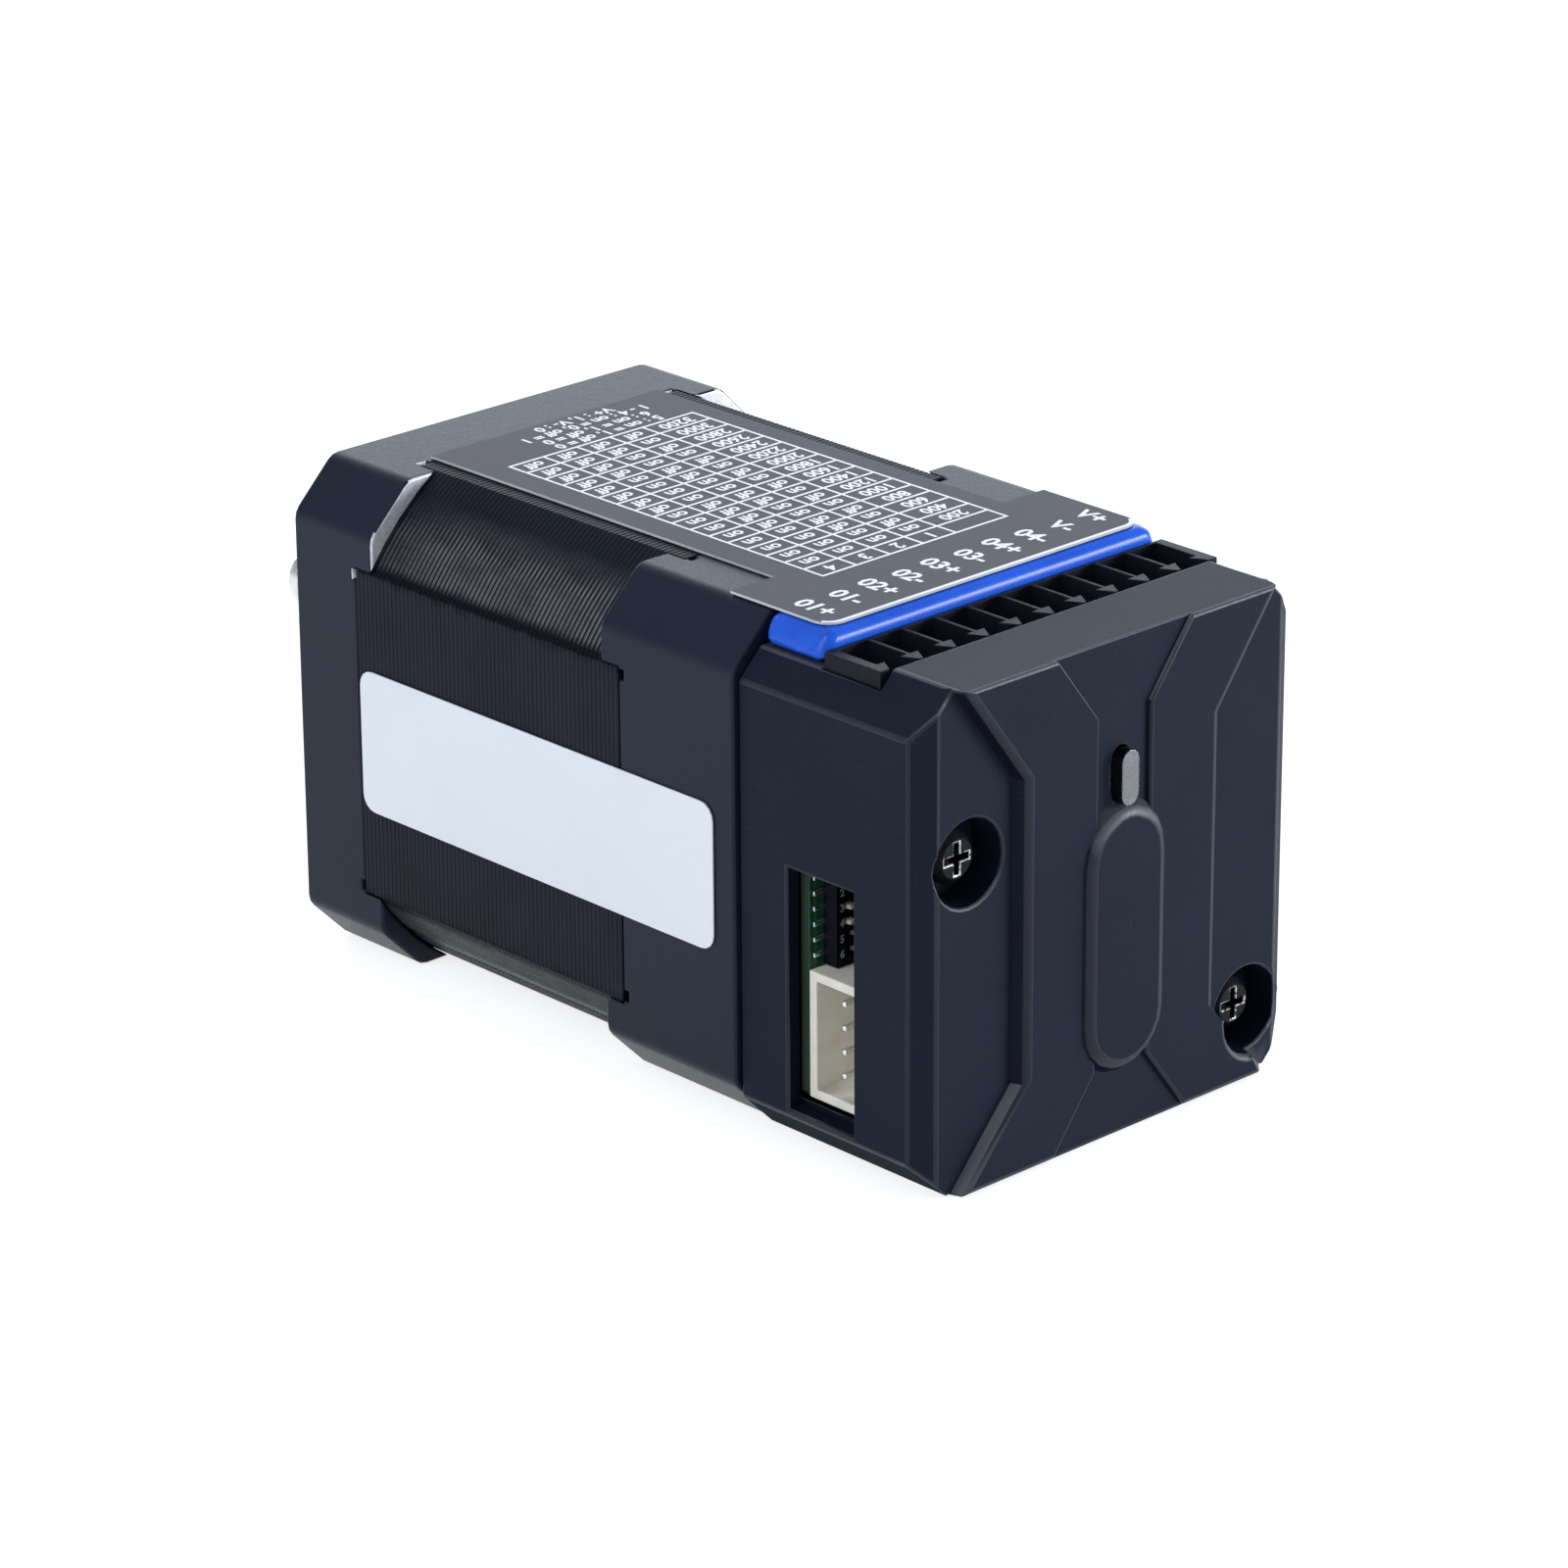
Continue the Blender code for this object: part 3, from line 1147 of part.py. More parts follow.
def phase_leads(rear, look):
    """Short leads from the windings to the board, through the hole in the rear cap."""
    start = REAR_CAP_S + WINDING_END + SEAT
    end = BOARD_S - SEAT
    for number in range(LEADS_ACROSS * LEAD_ROWS):
        dx = LEAD_SPACING * (number % LEADS_ACROSS - (LEADS_ACROSS - 1) / 2)
        dy = LEAD_SPACING * (number // LEADS_ACROSS - (LEAD_ROWS - 1) / 2) - LEAD_DROP
        curve = bpy.data.curves.new(f"phase_lead_{number + 1}", "CURVE")
        curve.dimensions = "3D"
        curve.bevel_depth = LEAD_RADIUS
        curve.bevel_resolution = 2
        curve.use_fill_caps = True
        spline = curve.splines.new("POLY")
        spline.points.add(LEAD_STEPS)
        for i, point in enumerate(spline.points):
            along = i / LEAD_STEPS
            bow = LEAD_BOW * math.sin(TAU / 2 * along) ** 2
            point.co = (dx + bow, dy, start + (end - start) * along, 1)
        lead = bpy.data.objects.new(curve.name, curve)
        bpy.context.scene.collection.objects.link(lead)
        lead.parent = rear
        curve.materials.append(look)


# Terminals

def header_mouth(middle):
    """The upper part of one pocket seen from above, between the dividers' arrowheads."""
    half = (TERMINAL_PITCH - HEADER_DIVIDER) / 2
    front = HEADER_FRONT_S + HEADER_FRONT_WALL
    barb = HEADER_REAR_S - HEADER_KEY_LENGTH
    back = HEADER_REAR_S + SLIP
    points = [
        (-half, front),
        (half, front),
        (half, barb),
        (half - HEADER_KEY, barb),
        (half, HEADER_REAR_S),
        (half, back),
        (-half, back),
        (-half, HEADER_REAR_S),
        (HEADER_KEY - half, barb),
        (-half, barb),
    ]
    return [(middle + x, -station) for x, station in points]


def terminal_header(side, top, plastic):
    """Shroud with a pocket and a pin for each terminal; its foot reaches under the bezel to the board."""
    profile = [
        (ON_BOARD, HEADER_BOTTOM),
        (HEADER_REAR_S, HEADER_BOTTOM),
        (HEADER_REAR_S, HEADER_TOP),
        (HEADER_FRONT_S, HEADER_TOP),
        (HEADER_FRONT_S, CAVITY_TOP - BOARD_CLEARANCE),
        (ON_BOARD, CAVITY_TOP - BOARD_CLEARANCE),
    ]
    header = prism("terminal_header", [profile], -HEADER_HALF, HEADER_HALF, side)
    first = -(TERMINALS - 1) * TERMINAL_PITCH / 2
    middles = [first + i * TERMINAL_PITCH for i in range(TERMINALS)]
    floor = HEADER_BOTTOM + HEADER_FLOOR
    rim = HEADER_TOP - HEADER_REAR_DROP
    room = (TERMINAL_PITCH - HEADER_DIVIDER) / 2
    front = -HEADER_FRONT_S - HEADER_FRONT_WALL
    back = HEADER_WALL - HEADER_REAR_S
    pockets = [rectangle(middle - room, middle + room, back, front) for middle in middles]
    mouths = [header_mouth(middle) for middle in middles]
    cut(
        header,
        prism("pockets", pockets, floor, rim + SEAT, top),
        prism("mouths", mouths, rim, HEADER_TOP + SLIP, top),
    )
    depth = -(HEADER_FRONT_S + HEADER_REAR_S) / 2
    half = HEADER_PIN_WIDTH / 2
    pins = [rectangle(middle - half, middle + half, depth - half, depth + half) for middle in middles]
    join(header, prism("pins", pins, floor - HEADER_WALL, HEADER_TOP - HEADER_PIN_TIP, top))
    return finish(header, plastic)


def terminal_bezel(rear, blue):
    """The bar over the housing's front edge, its ends leaning in and its edges round."""
    outline = [
        (-BEZEL_HALF, BEZEL_BOTTOM),
        (BEZEL_HALF, BEZEL_BOTTOM),
        (BEZEL_HALF - BEZEL_LEAN, HALF),
        (BEZEL_LEAN - BEZEL_HALF, HALF),
    ]
    bar = prism("terminal_bezel", [outline], HOUSING_S + SEAT, BEZEL_REAR_S, rear)
    round_edges(bar, BEZEL_EDGE, 3)
    return finish(bar, blue)


# Switch and connector in the side slot

def switch_levels():
    first = SWITCH_TOP - SWITCH_END - SWITCH_PITCH / 2
    return [first - i * SWITCH_PITCH for i in range(SWITCHES)]


def dip_switch(rear, black, white):
    """Switch body with its legs, and a slider in each slot, left or right as photographed."""
    right = SWITCH_LEFT + SWITCH_WIDTH
    top = ON_BOARD + SWITCH_HEIGHT
    outline = rectangle(SWITCH_LEFT, right, SWITCH_BOTTOM, SWITCH_TOP)
    body = prism("dip_switch_body", [outline], ON_BOARD, top, rear)
    leg = SWITCH_LEG_WIDTH / 2
    legs = []
    leg_top = ON_BOARD + SWITCH_LEG_THICKNESS
    left_leg = (SWITCH_LEFT - SWITCH_LEG_REACH, SWITCH_LEFT + SWITCH_END)
    right_leg = (right - SWITCH_END, right + SWITCH_LEG_REACH)
    for y in switch_levels():
        for start, end in (left_leg, right_leg):
            legs.append(((start, y - leg, ON_BOARD), (end, y + leg, leg_top)))
    join(body, blocks("switch_legs", legs, rear))
    slot_left = SWITCH_LEFT + SLIDER_SLOT_INSET
    slot_right = slot_left + SLIDER_LENGTH + SLIDER_TRAVEL + 2 * SEAT
    slot_half = SLIDER_WIDTH / 2 + SEAT
    floor = top - SLIDER_SINK
    slots = [rectangle(slot_left, slot_right, y - slot_half, y + slot_half) for y in switch_levels()]
    cut(body, prism("slider_slots", slots, floor, top + SLIP, rear))
    finish(body, black)

    foot = rounded(SLIDER_LENGTH, SLIDER_WIDTH, SLIDER_TAPER, 1)
    tip = rounded(SLIDER_LENGTH - 2 * SLIDER_TAPER, SLIDER_WIDTH - 2 * SLIDER_TAPER, SLIDER_TAPER, 1)
    left_end = slot_left + SEAT + SLIDER_LENGTH / 2
    for number, y in enumerate(switch_levels(), 1):
        slider = loft(f"dip_slider_{number}", foot, tip, floor + SEAT, top + SLIDER_PROUD, rear)
        x = left_end if number in SWITCHES_LEFT else left_end + SLIDER_TRAVEL
        slider.location = (x, y, floor + SEAT)
        finish(slider, white)


def comm_connector(side, ivory):
    """Side-entry connector on the board, its mouth towards the slot, with its row of pins."""
    mouth_x = INNER_WALL - SEAT
    outer = rectangle(ON_BOARD, ON_BOARD + PLUG_HEIGHT, PLUG_BOTTOM, PLUG_TOP)
    body = prism("comm_connector", [outer], mouth_x - PLUG_DEPTH, mouth_x, side)
    inner = rectangle(
        ON_BOARD + PLUG_WALL,
        ON_BOARD + PLUG_HEIGHT - PLUG_WALL,
        PLUG_BOTTOM + PLUG_WALL,
        PLUG_TOP - PLUG_WALL,
    )
    floor = mouth_x - PLUG_DEPTH + PLUG_FLOOR
    cut(body, prism("plug_mouth", [inner], floor, mouth_x + SLIP, side))
    middle = ON_BOARD + PLUG_HEIGHT / 2
    centre = (PLUG_TOP + PLUG_BOTTOM) / 2
    half = PLUG_PIN_WIDTH / 2
    pins = []
    for number in range(PLUG_PINS):
        y = centre + (number - (PLUG_PINS - 1) / 2) * PLUG_PITCH
        pins.append(rectangle(middle - half, middle + half, y - half, y + half))
    join(body, prism("plug_pins", pins, floor - PLUG_FLOOR / 2, mouth_x - PLUG_PIN_SINK, side))
    return finish(body, ivory)


# Labels

def top_label(top, black):
    """Sheet along the motor's top that widens over the bezel."""
    wide = BEZEL_HALF - TOP_LABEL_WIDE_INSET
    narrow = TOP_LABEL_HALF_WIDTH
    corner = TOP_LABEL_CORNER
    front = TOP_LABEL_FRONT_LAP - STACK_S
    step = TOP_LABEL_WIDE_LAP - HOUSING_S
    rear = TOP_LABEL_REAR_INSET - BEZEL_REAR_S
    left_corner = arc(corner, TAU / 2, TAU * 3 / 4, 4, (corner - wide, rear + corner))
    right_corner = arc(corner, TAU * 3 / 4, TAU, 4, (wide - corner, rear + corner))
    outline = left_corner + right_corner + [
        (wide, step),
        (narrow, step),
        (narrow, front),
        (-narrow, front),
        (-narrow, step),
        (-wide, step),
    ]
    start = HALF + LABEL_GAP
    return finish(prism("top_label", [outline], start, start + TOP_LABEL_THICKNESS, top), black)


def side_label(side, white):
    front = STACK_S + SIDE_LABEL_FRONT_INSET
    rear = HOUSING_S - SIDE_LABEL_REAR_INSET
    middle = ((front + rear) / 2, SIDE_LABEL_CENTRE)
    outline = rounded(rear - front, SIDE_LABEL_HEIGHT, SIDE_LABEL_CORNER, 4, middle)
    start = HALF + LABEL_GAP
    return finish(prism("side_label", [outline], start, start + SIDE_LABEL_THICKNESS, side), white)


def main():
    for old in list(bpy.data.objects):
        bpy.data.objects.remove(old)

    paint = material("black_paint", (0.016, 0.018, 0.026), 0.45)
    laminations = material("dark_laminations", (0.012, 0.013, 0.018), 0.5, 0.3)
    plastic = material("black_plastic", (0.017, 0.019, 0.027), 0.55)
    steel = material("bright_steel", (0.6, 0.6, 0.6), 0.25, 1.0)
    grey_steel = material("grey_steel", (0.3, 0.31, 0.33), 0.4, 1.0)
    black_steel = material("black_steel", (0.02, 0.02, 0.022), 0.35, 0.8)
    magnet_grey = material("magnet_grey", (0.18, 0.18, 0.19), 0.35, 0.8)
    copper = material("copper", (0.65, 0.24, 0.1), 0.35, 1.0)
    nylon = material("white_nylon", (0.75, 0.73, 0.68), 0.5)
    brass = material("cage_brass", (0.6, 0.42, 0.16), 0.35, 1.0)
    green = material("solder_mask", (0.01, 0.09, 0.04), 0.4)
    chip_black = material("chip_black", (0.015, 0.015, 0.016), 0.5)
    aluminium = material("can_aluminium", (0.7, 0.7, 0.72), 0.3, 1.0)
    lead_red = material("lead_insulation", (0.35, 0.02, 0.02), 0.5)
    ivory = material("ivory_nylon", (0.75, 0.72, 0.62), 0.5)
    blue = material("blue_plastic", (0.01, 0.07, 0.6), 0.35)
    clear = material("clear_plastic", (0.55, 0.56, 0.58), 0.15, 0.0, 0.6)
    label_black = material("label_black", (0.012, 0.012, 0.016), 0.4)
    label_white = material("label_white", (0.72, 0.76, 0.82), 0.4)

    rear, side, top, axis = sketch_planes()
    front_end_cap(rear, paint)
    rear_end_cap(rear, paint)
    stator_stack(rear, laminations)
    insulators(rear, nylon)
    coils(rear, copper)
    rotor(axis, grey_steel, magnet_grey)
    shaft(axis, steel)
    bearing("front_bearing", FRONT_BEARING_S, rear, axis, steel, brass)
    bearing("rear_bearing", REAR_BEARING_S, rear, axis, steel, brass)
    wave_washer(rear, steel)
    motor_screws(rear, black_steel)
    standoffs(rear, steel)
    housing_screws(rear, black_steel)
    encoder(axis, rear, nylon, magnet_grey, chip_black)
    driver_housing(rear, side, top, plastic)
    light_pipe(rear, clear)
    driver_board(rear, green)
    chip("microcontroller", MCU_SIZE, MCU_PLACE, rear, chip_black)
    chip("motor_driver_chip", POWER_CHIP_SIZE, POWER_CHIP_PLACE, rear, chip_black)
    chip("status_led", LED_SIZE, STEM_CENTRE, rear, nylon)
    capacitor(rear, aluminium)
    phase_leads(rear, lead_red)
    terminal_header(side, top, plastic)
    terminal_bezel(rear, blue)
    dip_switch(rear, chip_black, nylon)
    comm_connector(side, ivory)
    top_label(top, label_black)
    side_label(side, label_white)


main()
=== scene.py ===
"""Looks of a closed-loop stepper motor that carries its driver module on its back.

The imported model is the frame. Nodes whose edges show get softly rounded copies, the lamination stack gets
its sheet edges, the labels get their print, and every node gets a procedural material.
"""

import math

import bmesh
import bpy
from mathutils import Matrix, Vector


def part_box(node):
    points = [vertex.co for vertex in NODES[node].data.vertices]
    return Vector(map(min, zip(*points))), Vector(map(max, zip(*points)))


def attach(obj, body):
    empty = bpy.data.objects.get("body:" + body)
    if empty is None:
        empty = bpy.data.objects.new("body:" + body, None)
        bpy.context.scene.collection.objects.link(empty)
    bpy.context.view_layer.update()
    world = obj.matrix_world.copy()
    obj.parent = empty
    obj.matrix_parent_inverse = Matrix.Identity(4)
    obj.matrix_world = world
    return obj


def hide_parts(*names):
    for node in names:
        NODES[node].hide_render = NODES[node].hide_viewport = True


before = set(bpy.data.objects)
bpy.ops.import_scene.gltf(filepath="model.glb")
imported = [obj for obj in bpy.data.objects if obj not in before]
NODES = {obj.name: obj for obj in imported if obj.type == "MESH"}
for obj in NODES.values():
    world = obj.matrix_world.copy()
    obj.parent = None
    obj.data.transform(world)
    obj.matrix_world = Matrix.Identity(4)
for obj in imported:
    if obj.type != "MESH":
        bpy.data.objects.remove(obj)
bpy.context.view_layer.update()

MM = 0.001


def corners(node):
    """The two ends of a node's box."""
    low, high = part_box(node)
    return Vector(low), Vector(high)


def numbered(name, count):
    """The names of nodes that differ in their number only."""
    return [f"{name}_{index}" for index in range(1, count + 1)]


# Nodes that repeat
COILS = numbered("coil", 8)
PHASE_LEADS = numbered("phase_lead", 4)
MOTOR_SCREWS = numbered("motor_screw", 3)
HOUSING_SCREWS = numbered("housing_screw", 2)
SWITCHES = 6

# Places taken from the frame
STACK_LOW, STACK_HIGH = corners("stator_stack")
LABEL_LOW, LABEL_HIGH = corners("top_label")
SWITCH_LOW, SWITCH_HIGH = corners("dip_switch_body")
HOUSING_LOW = corners("driver_housing")[0]
FRONT_LUGS = corners("front_end_cap")[0].y
REAR_LUGS = corners("rear_end_cap")[1].y
HEADER_TOP = corners("terminal_header")[1].z
SCREW_MIDDLES = [sum(corners(screw), Vector()) / 2 for screw in HOUSING_SCREWS]
AXIS_Z = (STACK_LOW.z + STACK_HIGH.z) / 2

# Camera
TARGET = Vector((0.0, -15.7, 21.15)) * MM
AZIMUTH = math.radians(-43.67)
ELEVATION = math.radians(21.43)
ROLL = math.radians(-0.22)
DISTANCE = 500.4 * MM
LENS = 143.9
SENSOR = 36.0
SHIFT = (-0.0259, -0.0089)

# Light, with each lamp's place and size in metres and its watts
SKY = (0.87, 0.93, 1.0)
SKY_STRENGTH = 0.5
FAR_LAMP = ((0.68, 0.71, 0.42), (1.4, 0.7), 7.1)
LEFT_LAMP = ((-0.9, 0.15, 0.4), (0.7, 0.6), 3.2)
UPPER_LAMP = ((-0.6, -0.02, 0.74), (0.3, 0.3), 1.3)
BACK_LAMP = ((0.75, -0.75, 0.22), (0.5, 0.3), 11.0)

# Floor: its sizes in metres, and its tones
FLOOR_SIZE = 6.0
FLOOR_GAP = 0.02 * MM
BACKDROP_HEIGHT = 0.5
FLOOR_WHITE = 0.82
FLOOR_GLOW = 0.76
FLOOR_SHADOW_SHARE = 0.65

# Widths of the rounded edges
PAINT_EDGE = 0.28 * MM
FACE_EDGE = 0.55 * MM
LEDGE_EDGE = 0.15 * MM
MOULD_EDGE = 0.25 * MM
FINE_EDGE = 0.07 * MM
CONNECTOR_EDGE = 0.14 * MM
RUBBED_EDGE = 0.12 * MM
SLIDER_EDGE = 0.05 * MM
LENS_EDGE = 0.65 * MM
SHEET_EDGE = 0.03 * MM

# Segments of the rounded edges
CHAMFER = 1
SMALL_ROUND = 2
ROUND = 3
LARGE_ROUND = 4
KEEP_MATERIAL = -1  # a rounding with this number has the material of the faces beside it

# How much of the room beside an edge its rounding may take
ROOM_SHARE = 0.4
FACE_SHARE = 0.7
WIDE = 10.0 * MM  # the room beside an edge that nothing bounds
STEEP = 0.45  # a side bounds it if it runs across the edge by more than this share of its length

# Which edges are sharp, which faces are one, and which points are at a place
SHARP = math.radians(28)
FLAT = math.radians(0.8)
WELD = 0.002 * MM
NEAR = 0.05 * MM

# Bounds for the part of a face's unit normal that lies along an axis
ALONG = 0.99
NEARLY_ALONG = 0.9
LEANING = 0.5
SLIGHT = 0.3
ACROSS = 0.01

# Levels of the housing's back below its pad, and the slope that its foot is drawn in to
RAISED_DROP = 0.6 * MM
CHANNEL_DROP = 1.05 * MM
LEDGE_DEPTH = 2.0 * MM
FOOT_SLOPE = (0.0, -0.45, -0.893)
TIP_START = 15.5 * MM
TIP_HEIGHT = 0.6 * MM
TIP_PULL = 0.7 * MM

# Where the housing's counterbores and side slot lie
COUNTERBORE_REACH = 3.7 * MM
SLOT_START = 3.5 * MM
SLOT_FOOT = 1.0 * MM
SLOT_TOP = 27.0 * MM

# Lamination stack
SHEET_PITCH = 0.5 * MM
SHEET_CREST = 0.24 * MM
SHEET_FOOT = 0.36 * MM
SHEET_HEIGHT = 0.05 * MM
SHEET_SINK = 0.02 * MM
CAP_RELIEF = 0.6 * MM
OUTER_SHARE = 0.9  # of the stack's half width, which its outer faces lie beyond
SAME_POINT = 7  # decimals of a metre

# Print on the top label
INK = 0.02 * MM
LINE = 0.23 * MM
COLUMN_STEP = 0.003 * MM
BOLD = 0.026
WORD_RESOLUTION = 2
BORDER = 0.32 * MM
BORDER_REACH = 1.2 * MM
TABLE_ROWS = 16
TABLE_COLUMNS = 4
TABLE_STEP = 200
TABLE_LEFT = -9.7 * MM
TABLE_RIGHT = 10.3 * MM
TABLE_NUMBERS = 5.6 * MM
TABLE_FRONT_INSET = 6.6 * MM
TABLE_REAR_INSET = 8.2 * MM
WORD_HEIGHT = 1.75 * MM
NOTE_HEIGHT = 1.6 * MM
NOTE_PITCH = 1.45 * MM
NOTE_START = 0.75
NOTE_CENTRE = 2.0 * MM
NOTES = ("5 : on = 1, off = 0", "6 : on = 1, off = 0", "1 - 4 : on = 0, off = 1", "V+ : 1, V- : 0")
TERMINAL_HEIGHT = 2.4 * MM
TERMINAL_INSET = 3.5 * MM
TERMINAL_SPREAD = 30.0 * MM
TERMINALS = ("01+", "01-", "02+", "02-", "03+", "03-", "04+", "04-", "V-", "V+")

# Switch, connector, terminal pins and screw heads
NUMERAL_HEIGHT = 0.9 * MM
NUMERAL_INSET = 0.6 * MM
LEG_REACH = 1.1 * MM
SWITCH_MARGIN = 0.35 * MM
PIN_WIDTH = 0.55 * MM
PIN_DROP = 2.4 * MM
RECESS_REACH = 1.45 * MM

# Noise: how much detail it has, and between which of its values a look runs
BLUNT = 1.0
SOFT = 2.0
PLAIN = 3.0
RICH = 4.0
MIDDLE = (0.3, 0.7)
BROAD = (0.25, 0.75)

# Colour sockets of a Mix node
MIX_FIRST = 6
MIX_SECOND = 7
MIX_RESULT = 2

# Grain, sink marks and dust of moulded plastic, and its grey film on faces that look up and back, which is
# partly dust and partly painted light
GRAIN_SIZE = 0.16 * MM
GRAIN_DEPTH = 0.012 * MM
GRAIN_SHINE = (-0.07, 0.07)
MOULD_DRIFT = 9.0 * MM
SINK_SIZE = 2.5 * MM
SINK_DEPTH = 0.02 * MM
DUST_SIZE = 0.42 * MM
DUST_LEVELS = (0.74, 0.8)
DUST_SHARE = 0.1
DUST_LIFT = 0.1
DUST_GAIN = 2.2
DUST_AND_LIGHT_UP = 0.83
DUST_AND_LIGHT_BACK = 0.55
DUST_AND_LIGHT_LEVELS = (0.6, 0.72)
DUST_AND_LIGHT_GREY = (0.1, 0.105, 0.122)

# Orange peel of paint
PEEL_SIZE = 0.9 * MM
PEEL_DEPTH = 0.015 * MM
PAINT_GRAIN = 0.12 * MM
PAINT_DEPTH = 0.002 * MM
PAINT_SHINE = (-0.06, 0.08)
PAINT_DRIFT = 12.0 * MM

# Marks and stains of bare metal
MARK_SIZE = 0.25 * MM
MARK_DEPTH = 0.006 * MM
MARK_SHINE = (-0.08, 0.12)
STAIN_SIZE = 2.2 * MM
STAIN_LEVELS = (0.55, 0.8)
STAIN_SHARE = 0.35

# Tooth and waves of printed film
TOOTH_SIZE = 0.1 * MM
TOOTH_DEPTH = 0.004 * MM
TOOTH_SHINE = (-0.05, 0.06)
PRINT_DRIFT = 14.0 * MM
PRINT_WAVE = 6.0 * MM
PRINT_WAVE_DEPTH = 0.03 * MM

# Flow marks of glossy plastic
FLOW_SIZE = 1.6 * MM
FLOW_STRETCH = (0.25, 1.0, 1.0)
FLOW_DEPTH = 0.008 * MM
GLOSS_GRAIN = 0.14 * MM
GLOSS_DEPTH = 0.003 * MM
GLOSS_SHINE = (-0.04, 0.06)

# Rubbed corners of the laminations, bright only on the side half of each arc as a painted highlight, with a
# painted shadow band at the side; a span says how far a place lies to the side of the corner's diagonal
CORNER_TURN = (0.14, 0.3)
RUB_START = (-4.0 * MM, 1.5 * MM)
RUB_END = (5.4 * MM, 6.4 * MM)
RUB_SIZE = 1.4 * MM
RUB_STRETCH = (1.0, 0.4, 1.0)
RUB_LEVELS = (0.3, 0.62)
RUB_LEAST = 0.45
RUBBED_AND_LIT_GREY = (0.2, 0.2, 0.2)
CREST_LEVELS = (0.12, 0.26)
FADE_REACH = (9.0 * MM, 2.0 * MM)  # behind the stack's front
FADE_LEAST = 0.45
SHADE_BAND_START = (5.2 * MM, 6.0 * MM)
SHADE_BAND_END = (7.0 * MM, 7.7 * MM)
SHADE_BAND_BLACK = (0.001, 0.0018, 0.0065)
RAGGED_SIZE = 1.1 * MM
RAGGED_REACH = 0.4 * MM
LAMINATION_DRIFT = 5.0 * MM
LAMINATION_DEPTH = 0.006 * MM
LAMINATION_SHINE = (0.0, 0.14)

# Turns of wire
TURN_SCALE = 0.5 / (0.3 * MM)
TURN_WANDER = 1.2
TURN_DEPTH = 0.08 * MM

# Tracks and gloss of the board
TRACK_SIZE = 1.6 * MM
TRACK_WIDTH = 0.06
TRACK_OFFSET = 0.37
TRACK_DEPTH = 0.02 * MM
TRACK_GREEN = (0.02, 0.13, 0.07)
MASK_DRIFT = 3.0 * MM
MASK_GRAIN = 0.3 * MM
MASK_SHINE = (0.0, 0.14)

# Light pipe
LENS_IOR = 1.49
LENS_DRIFT = 0.8 * MM
LENS_GRAIN = 0.2 * MM
LENS_SHINE = (0.0, 0.06)
LENS_WAVE = 1.0 * MM
LENS_DEPTH = 0.01 * MM

# Worn screw recess
WEAR_SIZE = 0.35 * MM
WEAR_LEVELS = (0.4, 0.56)
WEAR_GRAIN = 0.15 * MM
WEAR_SHINE = (0.0, 0.16)
WEAR_DENTS = 0.2 * MM
WEAR_DEPTH = 0.01 * MM


# Materials

class Look:
    """A Principled material being built, with one call for each kind of node."""

    def __init__(self, name, metal=0.0, specular=0.5):
        self.material = bpy.data.materials.new(name)
        self.material.use_nodes = True
        self.tree = self.material.node_tree
        self.shader = self.tree.nodes["Principled BSDF"]
        self.shader.inputs["Metallic"].default_value = metal
        self.shader.inputs["Specular IOR Level"].default_value = specular
        self.place = self.add("ShaderNodeTexCoord").outputs["Object"]
        self.normal = None

    def add(self, kind, **settings):
        node = self.tree.nodes.new(kind)
        for name, value in settings.items():
            setattr(node, name, value)
        return node

    def feed(self, socket, value):
        if isinstance(value, bpy.types.NodeSocket):
            self.tree.links.new(value, socket)
        else:
            socket.default_value = value

    def set(self, name, value):
        self.feed(self.shader.inputs[name], value)

    def stretched(self, stretch):
        node = self.add("ShaderNodeMapping")
        self.feed(node.inputs["Vector"], self.place)
        node.inputs["Scale"].default_value = stretch
        return node.outputs["Vector"]

    def noise(self, size, detail=PLAIN, stretch=None):
        node = self.add("ShaderNodeTexNoise")
        self.feed(node.inputs["Vector"], self.stretched(stretch) if stretch else self.place)
        node.inputs["Scale"].default_value = 1.0 / size
        node.inputs["Detail"].default_value = detail
        return node.outputs["Fac"]

    def axis(self, letter):
        node = self.add("ShaderNodeSeparateXYZ")
        self.feed(node.inputs[0], self.place)
        return node.outputs[letter]

    def facing(self, letter):
        node = self.add("ShaderNodeSeparateXYZ")
        self.feed(node.inputs[0], self.add("ShaderNodeNewGeometry").outputs["Normal"])
        return node.outputs[letter]

    def maths(self, operation, a, b=0.0):
        node = self.add("ShaderNodeMath", operation=operation)
        self.feed(node.inputs[0], a)
        self.feed(node.inputs[1], b)
        return node.outputs[0]

    def product(self, first, *others):
        for other in others:
            first = self.maths("MULTIPLY", first, other)
        return first

    def span(self, value, low, high, start=0.0, end=1.0):
        node = self.add("ShaderNodeMapRange")
        self.feed(node.inputs["Value"], value)
        node.inputs["From Min"].default_value = low
        node.inputs["From Max"].default_value = high
        node.inputs["To Min"].default_value = start
        node.inputs["To Max"].default_value = end
        return node.outputs["Result"]

    def tint(self, share, first, second):
        node = self.add("ShaderNodeMix", data_type="RGBA")
        self.feed(node.inputs["Factor"], share)
        for index, colour in ((MIX_FIRST, first), (MIX_SECOND, second)):
            self.feed(node.inputs[index], (*colour, 1.0) if isinstance(colour, tuple) else colour)
        return node.outputs[MIX_RESULT]

    def blend(self, noise, dark, light):
        """A colour that follows a noise."""
        return self.tint(self.span(noise, *MIDDLE), dark, light)

    def shine(self, noise, rough, reach, levels=MIDDLE):
        """Roughness that follows a noise, from the rough value by the reach to either side."""
        low, high = reach
        self.set("Roughness", self.span(noise, *levels, rough + low, rough + high))

    def bump(self, height, depth):
        node = self.add("ShaderNodeBump")
        node.inputs["Distance"].default_value = depth
        self.feed(node.inputs["Height"], height)
        if self.normal:
            self.feed(node.inputs["Normal"], self.normal)
        self.normal = node.outputs["Normal"]
        self.set("Normal", self.normal)


